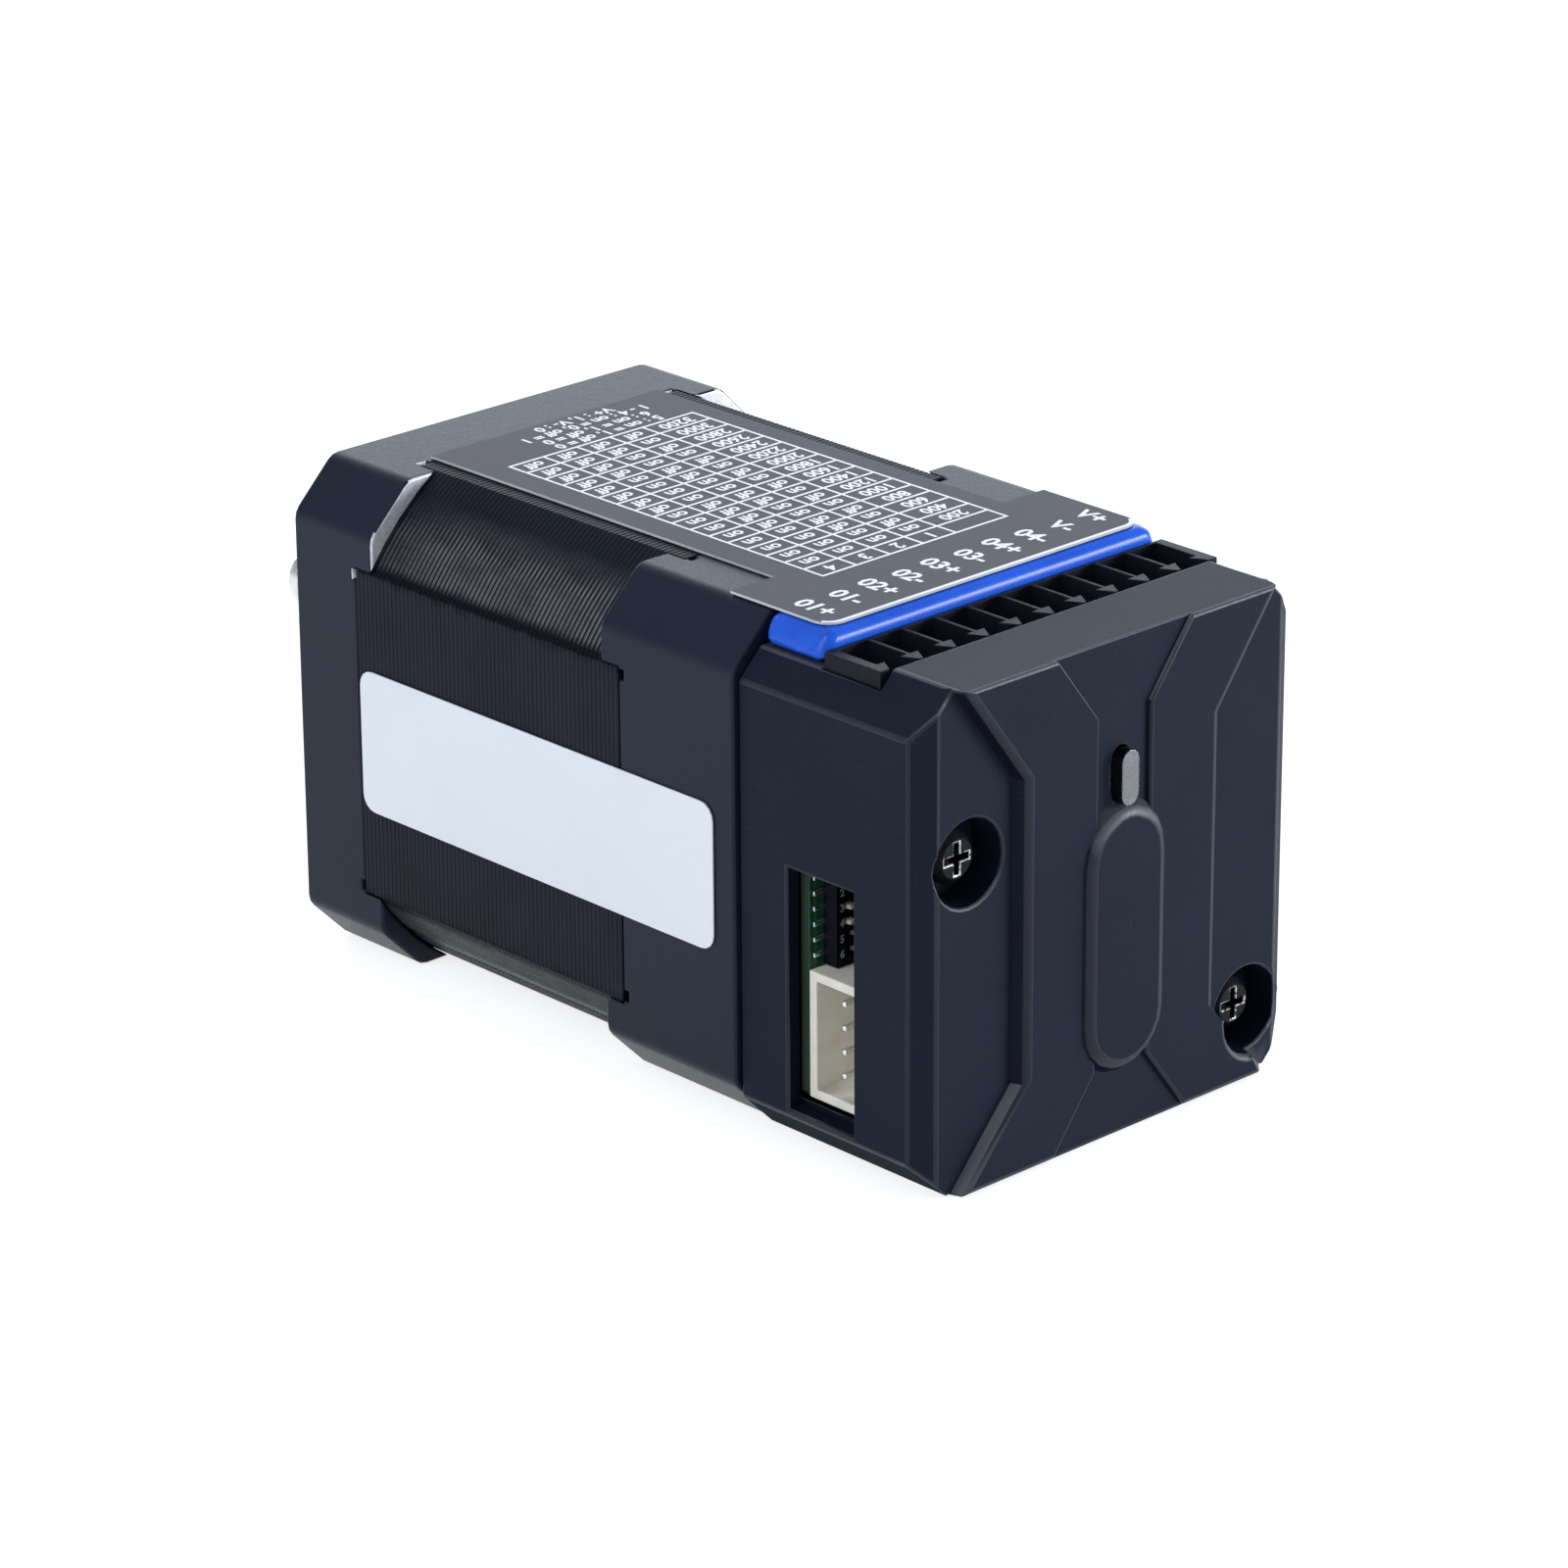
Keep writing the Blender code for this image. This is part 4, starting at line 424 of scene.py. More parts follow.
def grained(name, dark, light, rough, grain=GRAIN_SIZE, depth=GRAIN_DEPTH, specular=0.3, dust_and_light=0.0):
    """Moulded plastic with a spark-eroded grain, soft tone drift and specks of dust.

    Its last argument is the share of grey on the faces that look up and back: partly a film of dust on the
    upward faces, partly painted light that lightens the faces which look up and back.
    """
    look = Look(name, specular=specular)
    fine = look.noise(grain, SOFT)
    dust = look.span(look.noise(DUST_SIZE, BLUNT), *DUST_LEVELS, 0.0, DUST_SHARE)
    tone = look.blend(look.noise(MOULD_DRIFT, RICH), dark, light)
    # Grey on faces that look up and back: a dust film, and painted light that lifts those faces
    if dust_and_light:
        up = look.maths("MULTIPLY", look.facing("Z"), DUST_AND_LIGHT_UP)
        front = look.maths("MULTIPLY", look.facing("Y"), DUST_AND_LIGHT_BACK)
        dust_and_light_share = look.span(look.maths("SUBTRACT", up, front), *DUST_AND_LIGHT_LEVELS, 0.0, dust_and_light)
        tone = look.tint(dust_and_light_share, tone, DUST_AND_LIGHT_GREY)
    pale = tuple(DUST_LIFT + DUST_GAIN * part for part in light)
    look.set("Base Color", look.tint(dust, tone, pale))
    look.shine(fine, rough, GRAIN_SHINE, BROAD)
    look.bump(fine, depth)
    look.bump(look.noise(SINK_SIZE, SOFT), SINK_DEPTH)
    return look.material


def painted(name, dark, light, rough, specular):
    """Satin paint on metal with a fine orange peel."""
    look = Look(name, specular=specular)
    fine = look.noise(PAINT_GRAIN, SOFT)
    look.set("Base Color", look.blend(look.noise(PAINT_DRIFT, RICH), dark, light))
    look.shine(fine, rough, PAINT_SHINE)
    look.bump(look.noise(PEEL_SIZE, SOFT), PEEL_DEPTH)
    look.bump(fine, PAINT_DEPTH)
    return look.material


def metal(name, dark, light, rough, stretch=None, size=MARK_SIZE, depth=MARK_DEPTH, share=1.0,
          specular=0.5):
    """Metal whose marks run the way it was cut or drawn; share is how metallic its surface is."""
    look = Look(name, share, specular)
    marks = look.noise(size, RICH, stretch)
    stain = look.span(look.noise(STAIN_SIZE, RICH), *STAIN_LEVELS, 0.0, STAIN_SHARE)
    look.set("Base Color", look.tint(stain, look.blend(marks, dark, light), dark))
    look.shine(marks, rough, MARK_SHINE, BROAD)
    look.bump(marks, depth)
    return look.material


def sheet(name, dark, light, rough, specular):
    """Printed film with a faint fibrous tooth."""
    look = Look(name, specular=specular)
    tooth = look.noise(TOOTH_SIZE)
    look.set("Base Color", look.blend(look.noise(PRINT_DRIFT), dark, light))
    look.shine(tooth, rough, TOOTH_SHINE)
    look.bump(tooth, TOOTH_DEPTH)
    look.bump(look.noise(PRINT_WAVE, SOFT), PRINT_WAVE_DEPTH)
    return look.material


def smooth_plastic(name, dark, light, rough, specular=0.5):
    """Glossy moulded plastic with faint flow marks."""
    look = Look(name, specular=specular)
    flow = look.noise(FLOW_SIZE, RICH, FLOW_STRETCH)
    fine = look.noise(GLOSS_GRAIN, SOFT)
    look.set("Base Color", look.blend(flow, dark, light))
    look.shine(fine, rough, GLOSS_SHINE)
    look.bump(fine, GLOSS_DEPTH)
    look.bump(flow, FLOW_DEPTH)
    return look.material


def lamination_paint(name, dark, light, rough, specular):
    """Black stack whose bare sheet edges on each ground corner arc are painted bright only on the arc's
    side half, as a highlight, with a painted shadow band where the arc meets the side.
    """
    look = Look(name, specular=specular)
    out = look.maths("ABSOLUTE", look.axis("X"))
    high = look.maths("ABSOLUTE", look.maths("SUBTRACT", look.axis("Z"), AXIS_Z))
    sideways = look.maths("SUBTRACT", out, high)
    turn = look.maths("ABSOLUTE", look.product(look.facing("X"), look.facing("Z")))
    row = look.maths("FRACT", look.maths("DIVIDE", look.axis("Y"), SHEET_PITCH))
    off_centre = look.maths("ABSOLUTE", look.maths("SUBTRACT", row, 0.5))
    fade = [STACK_HIGH.y - reach for reach in FADE_REACH]
    # Bare sheet edges of the ground arcs, drawn bright only on the side half of each arc and fainter toward
    # the front: a painted highlight
    rubbed = look.product(look.span(turn, *CORNER_TURN),
                          look.span(sideways, *RUB_START),
                          look.span(sideways, *RUB_END, 1.0, 0.0),
                          look.span(look.axis("Y"), *fade, 1.0, FADE_LEAST),
                          look.span(look.noise(RUB_SIZE, RICH, RUB_STRETCH), *RUB_LEVELS, RUB_LEAST, 1.0),
                          look.span(off_centre, *CREST_LEVELS, 1.0, 0.0))
    stray = look.span(look.noise(RAGGED_SIZE), *MIDDLE, -RAGGED_REACH, RAGGED_REACH)
    ragged = look.maths("ADD", sideways, stray)
    # A dark band where each arc meets the side: painted shadow
    shade_band = look.product(look.span(ragged, *SHADE_BAND_START), look.span(ragged, *SHADE_BAND_END, 1.0, 0.0))
    tone = look.blend(look.noise(LAMINATION_DRIFT, RICH), dark, light)
    look.set("Base Color", look.tint(rubbed, look.tint(shade_band, tone, SHADE_BAND_BLACK), RUBBED_AND_LIT_GREY))
    fine = look.noise(PAINT_GRAIN, SOFT)
    look.shine(fine, rough, LAMINATION_SHINE)
    look.bump(fine, LAMINATION_DEPTH)
    return look.material


def winding(name, dark, light, rough):
    """Enamelled copper wire, turn beside turn."""
    look = Look(name, metal=1.0)
    node = look.add("ShaderNodeTexWave", bands_direction="DIAGONAL")
    look.feed(node.inputs["Vector"], look.place)
    node.inputs["Scale"].default_value = TURN_SCALE
    node.inputs["Distortion"].default_value = TURN_WANDER
    turns = node.outputs["Fac"]
    look.set("Base Color", look.tint(turns, dark, light))
    look.set("Roughness", rough)
    look.bump(turns, TURN_DEPTH)
    return look.material


def solder_mask(name, dark, light, rough):
    """Green board with buried tracks and a fine gloss."""
    look = Look(name)
    node = look.add("ShaderNodeTexBrick", offset=TRACK_OFFSET)
    look.feed(node.inputs["Vector"], look.place)
    node.inputs["Scale"].default_value = 1.0 / TRACK_SIZE
    node.inputs["Mortar Size"].default_value = TRACK_WIDTH
    tracks = node.outputs["Fac"]
    mask = look.tint(look.noise(MASK_DRIFT), dark, light)
    look.set("Base Color", look.tint(tracks, mask, TRACK_GREEN))
    look.shine(look.noise(MASK_GRAIN), rough, MASK_SHINE)
    look.bump(tracks, TRACK_DEPTH)
    return look.material


def clear_lens(name, dark, light, rough, clear):
    """Clear moulded light pipe."""
    look = Look(name)
    look.set("Transmission Weight", clear)
    look.set("IOR", LENS_IOR)
    look.set("Base Color", look.tint(look.noise(LENS_DRIFT), dark, light))
    look.shine(look.noise(LENS_GRAIN), rough, LENS_SHINE)
    look.bump(look.noise(LENS_WAVE, SOFT), LENS_DEPTH)
    return look.material


def worn_steel(name, dark, light, rough, share):
    """Recess edges of a blackened screw, rubbed bright in places by the driver bit."""
    look = Look(name, share)
    rubbed = look.span(look.noise(WEAR_SIZE), *WEAR_LEVELS)
    look.set("Base Color", look.tint(rubbed, dark, light))
    look.shine(look.noise(WEAR_GRAIN), rough, WEAR_SHINE)
    look.bump(look.noise(WEAR_DENTS), WEAR_DEPTH)
    return look.material


# Plastics of the housing, the header, the switch and the board
MOULD_BLACK = grained("mould_black", (0.0068, 0.0095, 0.021), (0.0088, 0.012, 0.0255), 0.6,
                      specular=0.1, dust_and_light=0.33)
MOULD_SHADE = grained("mould_shade", (0.0055, 0.0075, 0.0165), (0.007, 0.0095, 0.02), 0.7, specular=0.03)
MOULD_WORN = grained("mould_worn", (0.0075, 0.0102, 0.022), (0.0098, 0.013, 0.0265), 0.42,
                     specular=0.26, dust_and_light=0.6)
# Plastic painted pale for the two low diagonal walls of the back, which look up: a painted highlight
MOULD_LIT_LEDGE = grained("mould_lit_ledge", (0.1, 0.104, 0.122), (0.125, 0.13, 0.148), 0.6, specular=0.1)
HEADER_BLACK = grained("header_black", (0.0058, 0.0072, 0.0125), (0.0085, 0.0102, 0.0165), 0.46,
                       specular=0.12)
SWITCH_BLACK = grained("switch_black", (0.004, 0.005, 0.008), (0.006, 0.0072, 0.0105), 0.5,
                       grain=0.1 * MM, depth=0.005 * MM, specular=0.05)
CHIP_BLACK = grained("chip_black", (0.012, 0.012, 0.012), (0.022, 0.022, 0.022), 0.5,
                     grain=0.08 * MM, depth=0.004 * MM)
BOARD_CORE = grained("board_core", (0.022, 0.04, 0.026), (0.034, 0.058, 0.038), 0.55, grain=0.12 * MM)
SOLDER_MASK = solder_mask("solder_mask", (0.006, 0.06, 0.03), (0.01, 0.085, 0.042), 0.28)
NYLON = smooth_plastic("nylon", (0.66, 0.65, 0.6), (0.74, 0.73, 0.69), 0.42)
IVORY = smooth_plastic("ivory_nylon", (0.78, 0.73, 0.62), (0.86, 0.81, 0.71), 0.36)
CREAM = smooth_plastic("slider_cream", (0.68, 0.62, 0.48), (0.78, 0.73, 0.6), 0.34)
BLUE = smooth_plastic("blue_plastic", (0.008, 0.085, 0.6), (0.012, 0.11, 0.72), 0.28, specular=0.3)
LEAD_SLEEVE = smooth_plastic("lead_sleeve", (0.012, 0.012, 0.013), (0.025, 0.025, 0.027), 0.38)
LENS_CLEAR = clear_lens("clear_lens", (0.72, 0.74, 0.78), (0.86, 0.88, 0.92), 0.02, clear=1.0)
LENS_FROSTED = clear_lens("frosted_lens", (0.72, 0.74, 0.78), (0.86, 0.88, 0.92), 0.08, clear=0.8)

# Painted and bare metals
CAP_PAINT = painted("cap_paint", (0.0082, 0.0125, 0.0265), (0.0102, 0.015, 0.031), 0.38, specular=0.15)
LAMINATION_PAINT = lamination_paint("lamination_paint", (0.0075, 0.0095, 0.017), (0.0115, 0.014, 0.023),
                                    0.36, specular=0.09)
BARE_METAL = metal("bare_metal", (0.6, 0.6, 0.66), (0.82, 0.82, 0.88), 0.46, share=0.35)
# Bare metal in the caps' reliefs, painted near white as a glint
BARE_GLINT = sheet("bare_glint", (0.9, 0.9, 0.92), (0.97, 0.97, 0.98), 0.4, specular=0.5)
GROUND_STEEL = metal("ground_steel", (0.55, 0.55, 0.56), (0.8, 0.8, 0.8), 0.24,
                     stretch=(1.0, 12.0, 1.0), size=1.8 * MM, depth=0.002 * MM)
TURNED_STEEL = metal("turned_steel", (0.5, 0.5, 0.51), (0.72, 0.72, 0.73), 0.26,
                     stretch=(1.0, 8.0, 1.0), size=0.5 * MM)
ZINC_STEEL = metal("zinc_steel", (0.42, 0.43, 0.45), (0.66, 0.67, 0.69), 0.34)
BLACK_STEEL = metal("black_steel", (0.005, 0.0058, 0.009), (0.01, 0.011, 0.016), 0.42,
                    share=0.5, specular=0.15)
WORN_STEEL = worn_steel("worn_steel", (0.035, 0.035, 0.04), (0.72, 0.71, 0.7), 0.3, share=0.85)
SILICON_STEEL = metal("silicon_steel", (0.3, 0.31, 0.33), (0.5, 0.5, 0.52), 0.36,
                      stretch=(1.0, 20.0, 1.0), size=1.2 * MM)
SINTERED_MAGNET = metal("sintered_magnet", (0.22, 0.22, 0.23), (0.36, 0.36, 0.37), 0.42, size=0.12 * MM)
TINNED = metal("tinned", (0.6, 0.61, 0.62), (0.86, 0.86, 0.86), 0.28, size=0.15 * MM)
BRASS = metal("cage_brass", (0.55, 0.36, 0.11), (0.75, 0.53, 0.2), 0.3)
CAN_ALUMINIUM = metal("can_aluminium", (0.62, 0.63, 0.65), (0.82, 0.83, 0.84), 0.3,
                      stretch=(1.0, 0.2, 1.0))
WINDING = winding("winding", (0.35, 0.1, 0.03), (0.85, 0.38, 0.17), 0.3)

# Labels and their print
LABEL_BLACK = sheet("label_black", (0.0195, 0.0195, 0.036), (0.0245, 0.0245, 0.044), 0.5, specular=0.2)
LABEL_EDGE = sheet("label_edge", (0.5, 0.5, 0.52), (0.62, 0.62, 0.64), 0.5, specular=0.4)
LABEL_WHITE = sheet("label_white", (0.79, 0.815, 0.85), (0.83, 0.85, 0.88), 0.36, specular=0.4)
WHITE_INK = sheet("white_ink", (0.86, 0.87, 0.89), (0.93, 0.94, 0.95), 0.45, specular=0.3)
GREY_INK = sheet("grey_ink", (0.3, 0.3, 0.3), (0.4, 0.4, 0.4), 0.5, specular=0.4)


# Meshes

def piece_of(name, bm, body, slot, *materials):
    """A new piece that moves with a body; the slot it is given is not used."""
    mesh = bpy.data.meshes.new(name)
    bm.to_mesh(mesh)
    bm.free()
    for material in materials:
        mesh.materials.append(material)
    piece = bpy.data.objects.new(name, mesh)
    bpy.context.scene.collection.objects.link(piece)
    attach(piece, body)
    return piece


def plain_mesh(node):
    """A node's mesh with its facets welded and its flat faces made whole."""
    bm = bmesh.new()
    bm.from_mesh(NODES[node].data)
    bmesh.ops.remove_doubles(bm, verts=bm.verts[:], dist=WELD)
    bmesh.ops.dissolve_limit(bm, angle_limit=FLAT, verts=bm.verts[:], edges=bm.edges[:])
    return bm


def is_sharp(edge):
    return len(edge.link_faces) == 2 and edge.calc_face_angle() > SHARP


def room_beside(edge):
    """How far the faces beside an edge reach from it, at its ends."""
    run = (edge.verts[1].co - edge.verts[0].co).normalized()
    rooms = [WIDE]
    for loop in edge.link_loops:
        for near in (loop.link_loop_prev.edge, loop.link_loop_next.edge):
            side = near.verts[1].co - near.verts[0].co
            across = (side - run * side.dot(run)).length
            if across > STEEP * side.length:
                rooms.append(across)
    return min(rooms)


def fitted(edge, width, share=ROOM_SHARE):
    """A rounding's width, or less where the faces beside the edge leave no room for it."""
    return min(width, share * room_beside(edge))


def weigh_edges(bm, width_of, widest):
    """Gives each sharp outer edge its rounding, as a share of the widest, and keeps the others crisp."""
    weight = bm.edges.layers.float.new("bevel_weight_edge")
    for face in bm.faces:
        face.smooth = True
    for edge in bm.edges:
        if not is_sharp(edge):
            continue
        width = width_of(edge) if edge.is_convex else 0.0
        if width:
            edge[weight] = width / widest
        else:
            edge.smooth = False


def shell(node, slot, width, materials, segments=ROUND, pick=None, edit=None, body="motor", width_of=None,
          worn=KEEP_MATERIAL):
    """A rounded copy of a node, shown in its place.

    Pick gives a face the number of its material, edit changes the mesh first, width_of gives an edge its
    rounding, and worn is the number of the material of the rounded edges.
    """
    bm = plain_mesh(node)
    if edit:
        edit(bm)
    if pick:
        for face in bm.faces:
            face.material_index = pick(face)
    weigh_edges(bm, width_of or (lambda edge: fitted(edge, width)), width)
    piece = piece_of(node + "_shell", bm, body, slot, *materials)
    bevel = piece.modifiers.new("edges", "BEVEL")
    bevel.width = width
    bevel.segments = segments
    bevel.limit_method = "WEIGHT"
    bevel.use_clamp_overlap = False
    bevel.material = worn
    weigh = piece.modifiers.new("flats", "WEIGHTED_NORMAL")
    weigh.keep_sharp = True
    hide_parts(node)
    return piece


def dress(material, *nodes):
    """Gives nodes that keep their own shape a material."""
    for node in nodes:
        for slot in NODES[node].material_slots:
            slot.material = material


def add_block(bm, low, high):
    """Adds a box between two corners."""
    corner = bmesh.ops.create_cube(bm, size=1.0)["verts"]
    middle = (low + high) / 2
    size = high - low
    for vert in corner:
        vert.co = Vector(tuple(middle[i] + vert.co[i] * size[i] for i in range(3)))


WORDS = {}


def word_mesh(text):
    """A bold word one unit tall, centred, as a thin closed mesh."""
    if text not in WORDS:
        curve = bpy.data.curves.new("word", "FONT")
        curve.body = text
        curve.align_x = "CENTER"
        curve.align_y = "CENTER"
        curve.resolution_u = WORD_RESOLUTION
        curve.extrude = 0.5
        curve.offset = BOLD
        holder = bpy.data.objects.new("word", curve)
        bpy.context.scene.collection.objects.link(holder)
        bpy.context.view_layer.update()
        shown = holder.evaluated_get(bpy.context.evaluated_depsgraph_get())
        WORDS[text] = bpy.data.meshes.new_from_object(shown)
        bpy.data.objects.remove(holder)
    return WORDS[text]


def add_word(bm, text, height, thickness, place, along, facing):
    """Puts a word on a surface: along is its reading direction, facing points out of the surface."""
    upright = facing.cross(along)
    turn = Matrix((along * height, upright * height, facing * thickness)).transposed().to_4x4()
    first = len(bm.verts)
    bm.from_mesh(word_mesh(text))
    bm.verts.ensure_lookup_table()
    for vert in bm.verts[first:]:
        vert.co = place + turn @ vert.co


# Caps, stack and shaft

def upper_ends(lugs, reliefs, direction):
    """Picks the bare metal faces that look at the stack from a cap's upper lugs and reliefs; the reliefs'
    bare metal is painted near white as a glint.
    """
    paint, bare, glint = range(3)

    def pick(face):
        middle = face.calc_center_median()
        if face.normal.y * direction < ALONG or middle.z < AXIS_Z:
            return paint
        if abs(middle.y - lugs) < NEAR:
            return bare
        return glint if abs(middle.y - reliefs) < NEAR else paint
    return pick


def make_caps():
    looks = (CAP_PAINT, BARE_METAL, BARE_GLINT)
    front = upper_ends(FRONT_LUGS, STACK_HIGH.y + CAP_RELIEF, -1)
    rear = upper_ends(REAR_LUGS, STACK_LOW.y - CAP_RELIEF, 1)
    shell("front_end_cap", "black_paint", PAINT_EDGE, looks, pick=front)
    shell("rear_end_cap", "black_paint", PAINT_EDGE, looks, pick=rear)


def around_axis(vert):
    """A point's place about the axis, the same for all points of one line along the stack."""
    return round(vert.co.x, SAME_POINT), round(vert.co.z - AXIS_Z, SAME_POINT)


def stack_outline(bm):
    """The stack's outer outline, as points about the axis in order."""
    points = set()
    for face in bm.faces:
        middle = face.calc_center_median()
        outward = Vector((middle.x, 0.0, middle.z - AXIS_Z))
        if abs(face.normal.y) < ACROSS and face.normal.dot(outward) > OUTER_SHARE * STACK_HIGH.x:
            points.update(around_axis(vert) for vert in face.verts)
    return sorted(points, key=lambda point: math.atan2(point[1], point[0]))


def add_rib(bm, outline, middle):
    """The edge of one sheet, a low rib round the stack that ends at the frame's surface."""
    sunk = -SHEET_HEIGHT - SHEET_SINK
    rows = ((-SHEET_FOOT / 2, sunk), (-SHEET_CREST / 2, 0.0),
            (SHEET_CREST / 2, 0.0), (SHEET_FOOT / 2, sunk))
    rings = []
    for offset, rise in rows:
        ring = []
        for x, z in outline:
            grow = 1.0 + rise / math.hypot(x, z)
            ring.append(bm.verts.new((x * grow, middle + offset, AXIS_Z + z * grow)))
        rings.append(ring)
    for first, second in zip(rings, rings[1:] + rings[:1]):
        for i in range(len(outline)):
            j = (i + 1) % len(outline)
            bm.faces.new((first[i], first[j], second[j], second[i]))


def make_stack():
    """The stack, under size by the height of the ribs that stand for the edges of its sheets."""
    core = plain_mesh("stator_stack")
    outline = stack_outline(core)
    outer = set(outline)
    for vert in core.verts:
        if around_axis(vert) in outer:
            x, z = around_axis(vert)
            shrink = 1.0 - SHEET_HEIGHT / math.hypot(x, z)
            vert.co.x = x * shrink
            vert.co.z = AXIS_Z + z * shrink
    ribs = bmesh.new()
    sheets = round((STACK_HIGH.y - STACK_LOW.y) / SHEET_PITCH)
    pitch = (STACK_HIGH.y - STACK_LOW.y) / sheets
    for index in range(sheets):
        add_rib(ribs, outline, STACK_LOW.y + (index + 0.5) * pitch)
    bmesh.ops.recalc_face_normals(ribs, faces=ribs.faces[:])
    for bm in (core, ribs):
        weigh_edges(bm, lambda edge: 0.0, 1.0)
    body = piece_of("stator_stack_core", core, "motor", "dark_laminations", LAMINATION_PAINT)
    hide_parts("stator_stack")
    piece_of("lamination_edges", ribs, "motor", "dark_laminations", LAMINATION_PAINT)


def make_shaft():
    shell("shaft", "bright_steel", FINE_EDGE, (GROUND_STEEL,), body="rotor")


# Driver housing and what sits in it

def draw_in_foot(bm):
    """Slopes the foot of the housing's back, so that its raised face and its channel end on one line."""
    foot = Vector((0.0, HOUSING_LOW.y + CHANNEL_DROP, HOUSING_LOW.z))
    geometry = bm.verts[:] + bm.edges[:] + bm.faces[:]
    cut = bmesh.ops.bisect_plane(bm, geom=geometry, plane_co=foot, plane_no=FOOT_SLOPE, clear_outer=True)
    rim = [part for part in cut["geom_cut"] if isinstance(part, bmesh.types.BMEdge) and part.is_boundary]
    bmesh.ops.edgeloop_fill(bm, edges=rim)
    bmesh.ops.recalc_face_normals(bm, faces=bm.faces[:])
    for vert in bm.verts:
        x, y, z = vert.co
        if x > TIP_START and y < foot.y + NEAR and z < HOUSING_LOW.z + TIP_HEIGHT:
            vert.co.x = x - TIP_PULL


def is_ledge(face):
    """Whether a face is one of the two low diagonal walls of the back, which look up and are painted pale
    as a highlight.
    """
    out, front, up = face.normal
    at_back = face.calc_center_median().y < HOUSING_LOW.y + LEDGE_DEPTH
    return at_back and abs(out) > LEANING and up > LEANING and front > -LEANING


def is_shaded(face):
    """Whether a face of the housing looks down, or lies in a counterbore or in the side slot."""
    middle = face.calc_center_median()
    reach = min(math.hypot(middle.x - screw.x, middle.z - screw.z) for screw in SCREW_MIDDLES)
    bored = reach < COUNTERBORE_REACH and abs(face.normal.y) < LEANING
    beside = middle.x < SWITCH_LOW.x + LEG_REACH and middle.y > HOUSING_LOW.y + SLOT_START
    slotted = beside and SLOT_FOOT < middle.z < SLOT_TOP and abs(face.normal.x) < SLIGHT
    return face.normal.z < -LEANING or bored or slotted


def make_housing():
    plain, shaded, worn, lit_ledge = range(4)
    looks = (MOULD_BLACK, MOULD_SHADE, MOULD_WORN, MOULD_LIT_LEDGE)
    raised = HOUSING_LOW.y + RAISED_DROP

    def finish(face):
        if is_shaded(face):
            return shaded
        # The low diagonal walls get the plastic with the painted highlight
        return lit_ledge if is_ledge(face) else plain

    def width_of(edge):
        if any(is_ledge(face) for face in edge.link_faces):
            return fitted(edge, LEDGE_EDGE)
        on_face = max(vert.co.y for vert in edge.verts) < raised + NEAR
        return fitted(edge, FACE_EDGE, FACE_SHARE) if on_face else fitted(edge, MOULD_EDGE)

    shell("driver_housing", "black_plastic", FACE_EDGE, looks, LARGE_ROUND, finish, draw_in_foot,
          width_of=width_of, worn=worn)


def make_lens():
    """The light pipe, clear but for its frosted end."""
    def end(face):
        return int(face.normal.y < -NEARLY_ALONG)
    shell("light_pipe", "clear_plastic", LENS_EDGE, (LENS_CLEAR, LENS_FROSTED), LARGE_ROUND, end)


def recess_edges(screw):
    """Gives the rounding of a screw's edges, which only the recess in its head has."""
    low, high = corners(screw)
    middle = (low + high) / 2

    def width_of(edge):
        spot = (edge.verts[0].co + edge.verts[1].co) / 2
        inside = math.hypot(spot.x - middle.x, spot.z - middle.z) < RECESS_REACH
        return fitted(edge, RUBBED_EDGE) if inside and spot.y < low.y + NEAR else 0.0
    return width_of


def make_screws():
    """The screws of the housing, black with rubbed recess edges."""
    looks = (BLACK_STEEL, WORN_STEEL)
    worn = looks.index(WORN_STEEL)
    for screw in HOUSING_SCREWS:
        shell(screw, "black_steel", RUBBED_EDGE, looks, SMALL_ROUND,
              width_of=recess_edges(screw), worn=worn)


def make_header():
    """The terminal header with its tinned pins, and the bezel in front of it."""
    tip = HEADER_TOP - PIN_DROP

    def pin(face):
        return int(face.normal.z > ALONG and abs(face.calc_center_median().z - tip) < NEAR)
    shell("terminal_header", "black_plastic", FINE_EDGE, (HEADER_BLACK, TINNED), SMALL_ROUND, pin)
    shell("terminal_bezel", "blue_plastic", MOULD_EDGE, (BLUE,))


def make_board():
    """The board, whose rim shows its core."""
    def rim(face):
        return int(abs(face.normal.y) < LEANING)
    shell("driver_board", "solder_mask", SHEET_EDGE, (SOLDER_MASK, BOARD_CORE), CHAMFER, rim)


def make_switch():
    """The switch with its tinned legs, and its sliders."""
    left_side = SWITCH_LOW.x + LEG_REACH
    right_side = SWITCH_HIGH.x - LEG_REACH

    def leg(face):
        across = [vert.co.x for vert in face.verts]
        return int(min(across) < left_side - NEAR or max(across) > right_side + NEAR)
    shell("dip_switch_body", "chip_black", FINE_EDGE, (SWITCH_BLACK, TINNED), SMALL_ROUND, leg)
    for index in range(1, SWITCHES + 1):
        shell(f"dip_slider_{index}", "white_nylon", SLIDER_EDGE, (CREAM,), SMALL_ROUND,
              body=f"slider_{index}")


def make_connector():
    """The connector with its tinned pins, which are told by their narrow faces."""
    def pin(face):
        spans = [max(v.co[i] for v in face.verts) - min(v.co[i] for v in face.verts) for i in (1, 2)]
        return int(max(spans) < PIN_WIDTH)
    shell("comm_connector", "ivory_nylon", CONNECTOR_EDGE, (IVORY, TINNED), pick=pin)


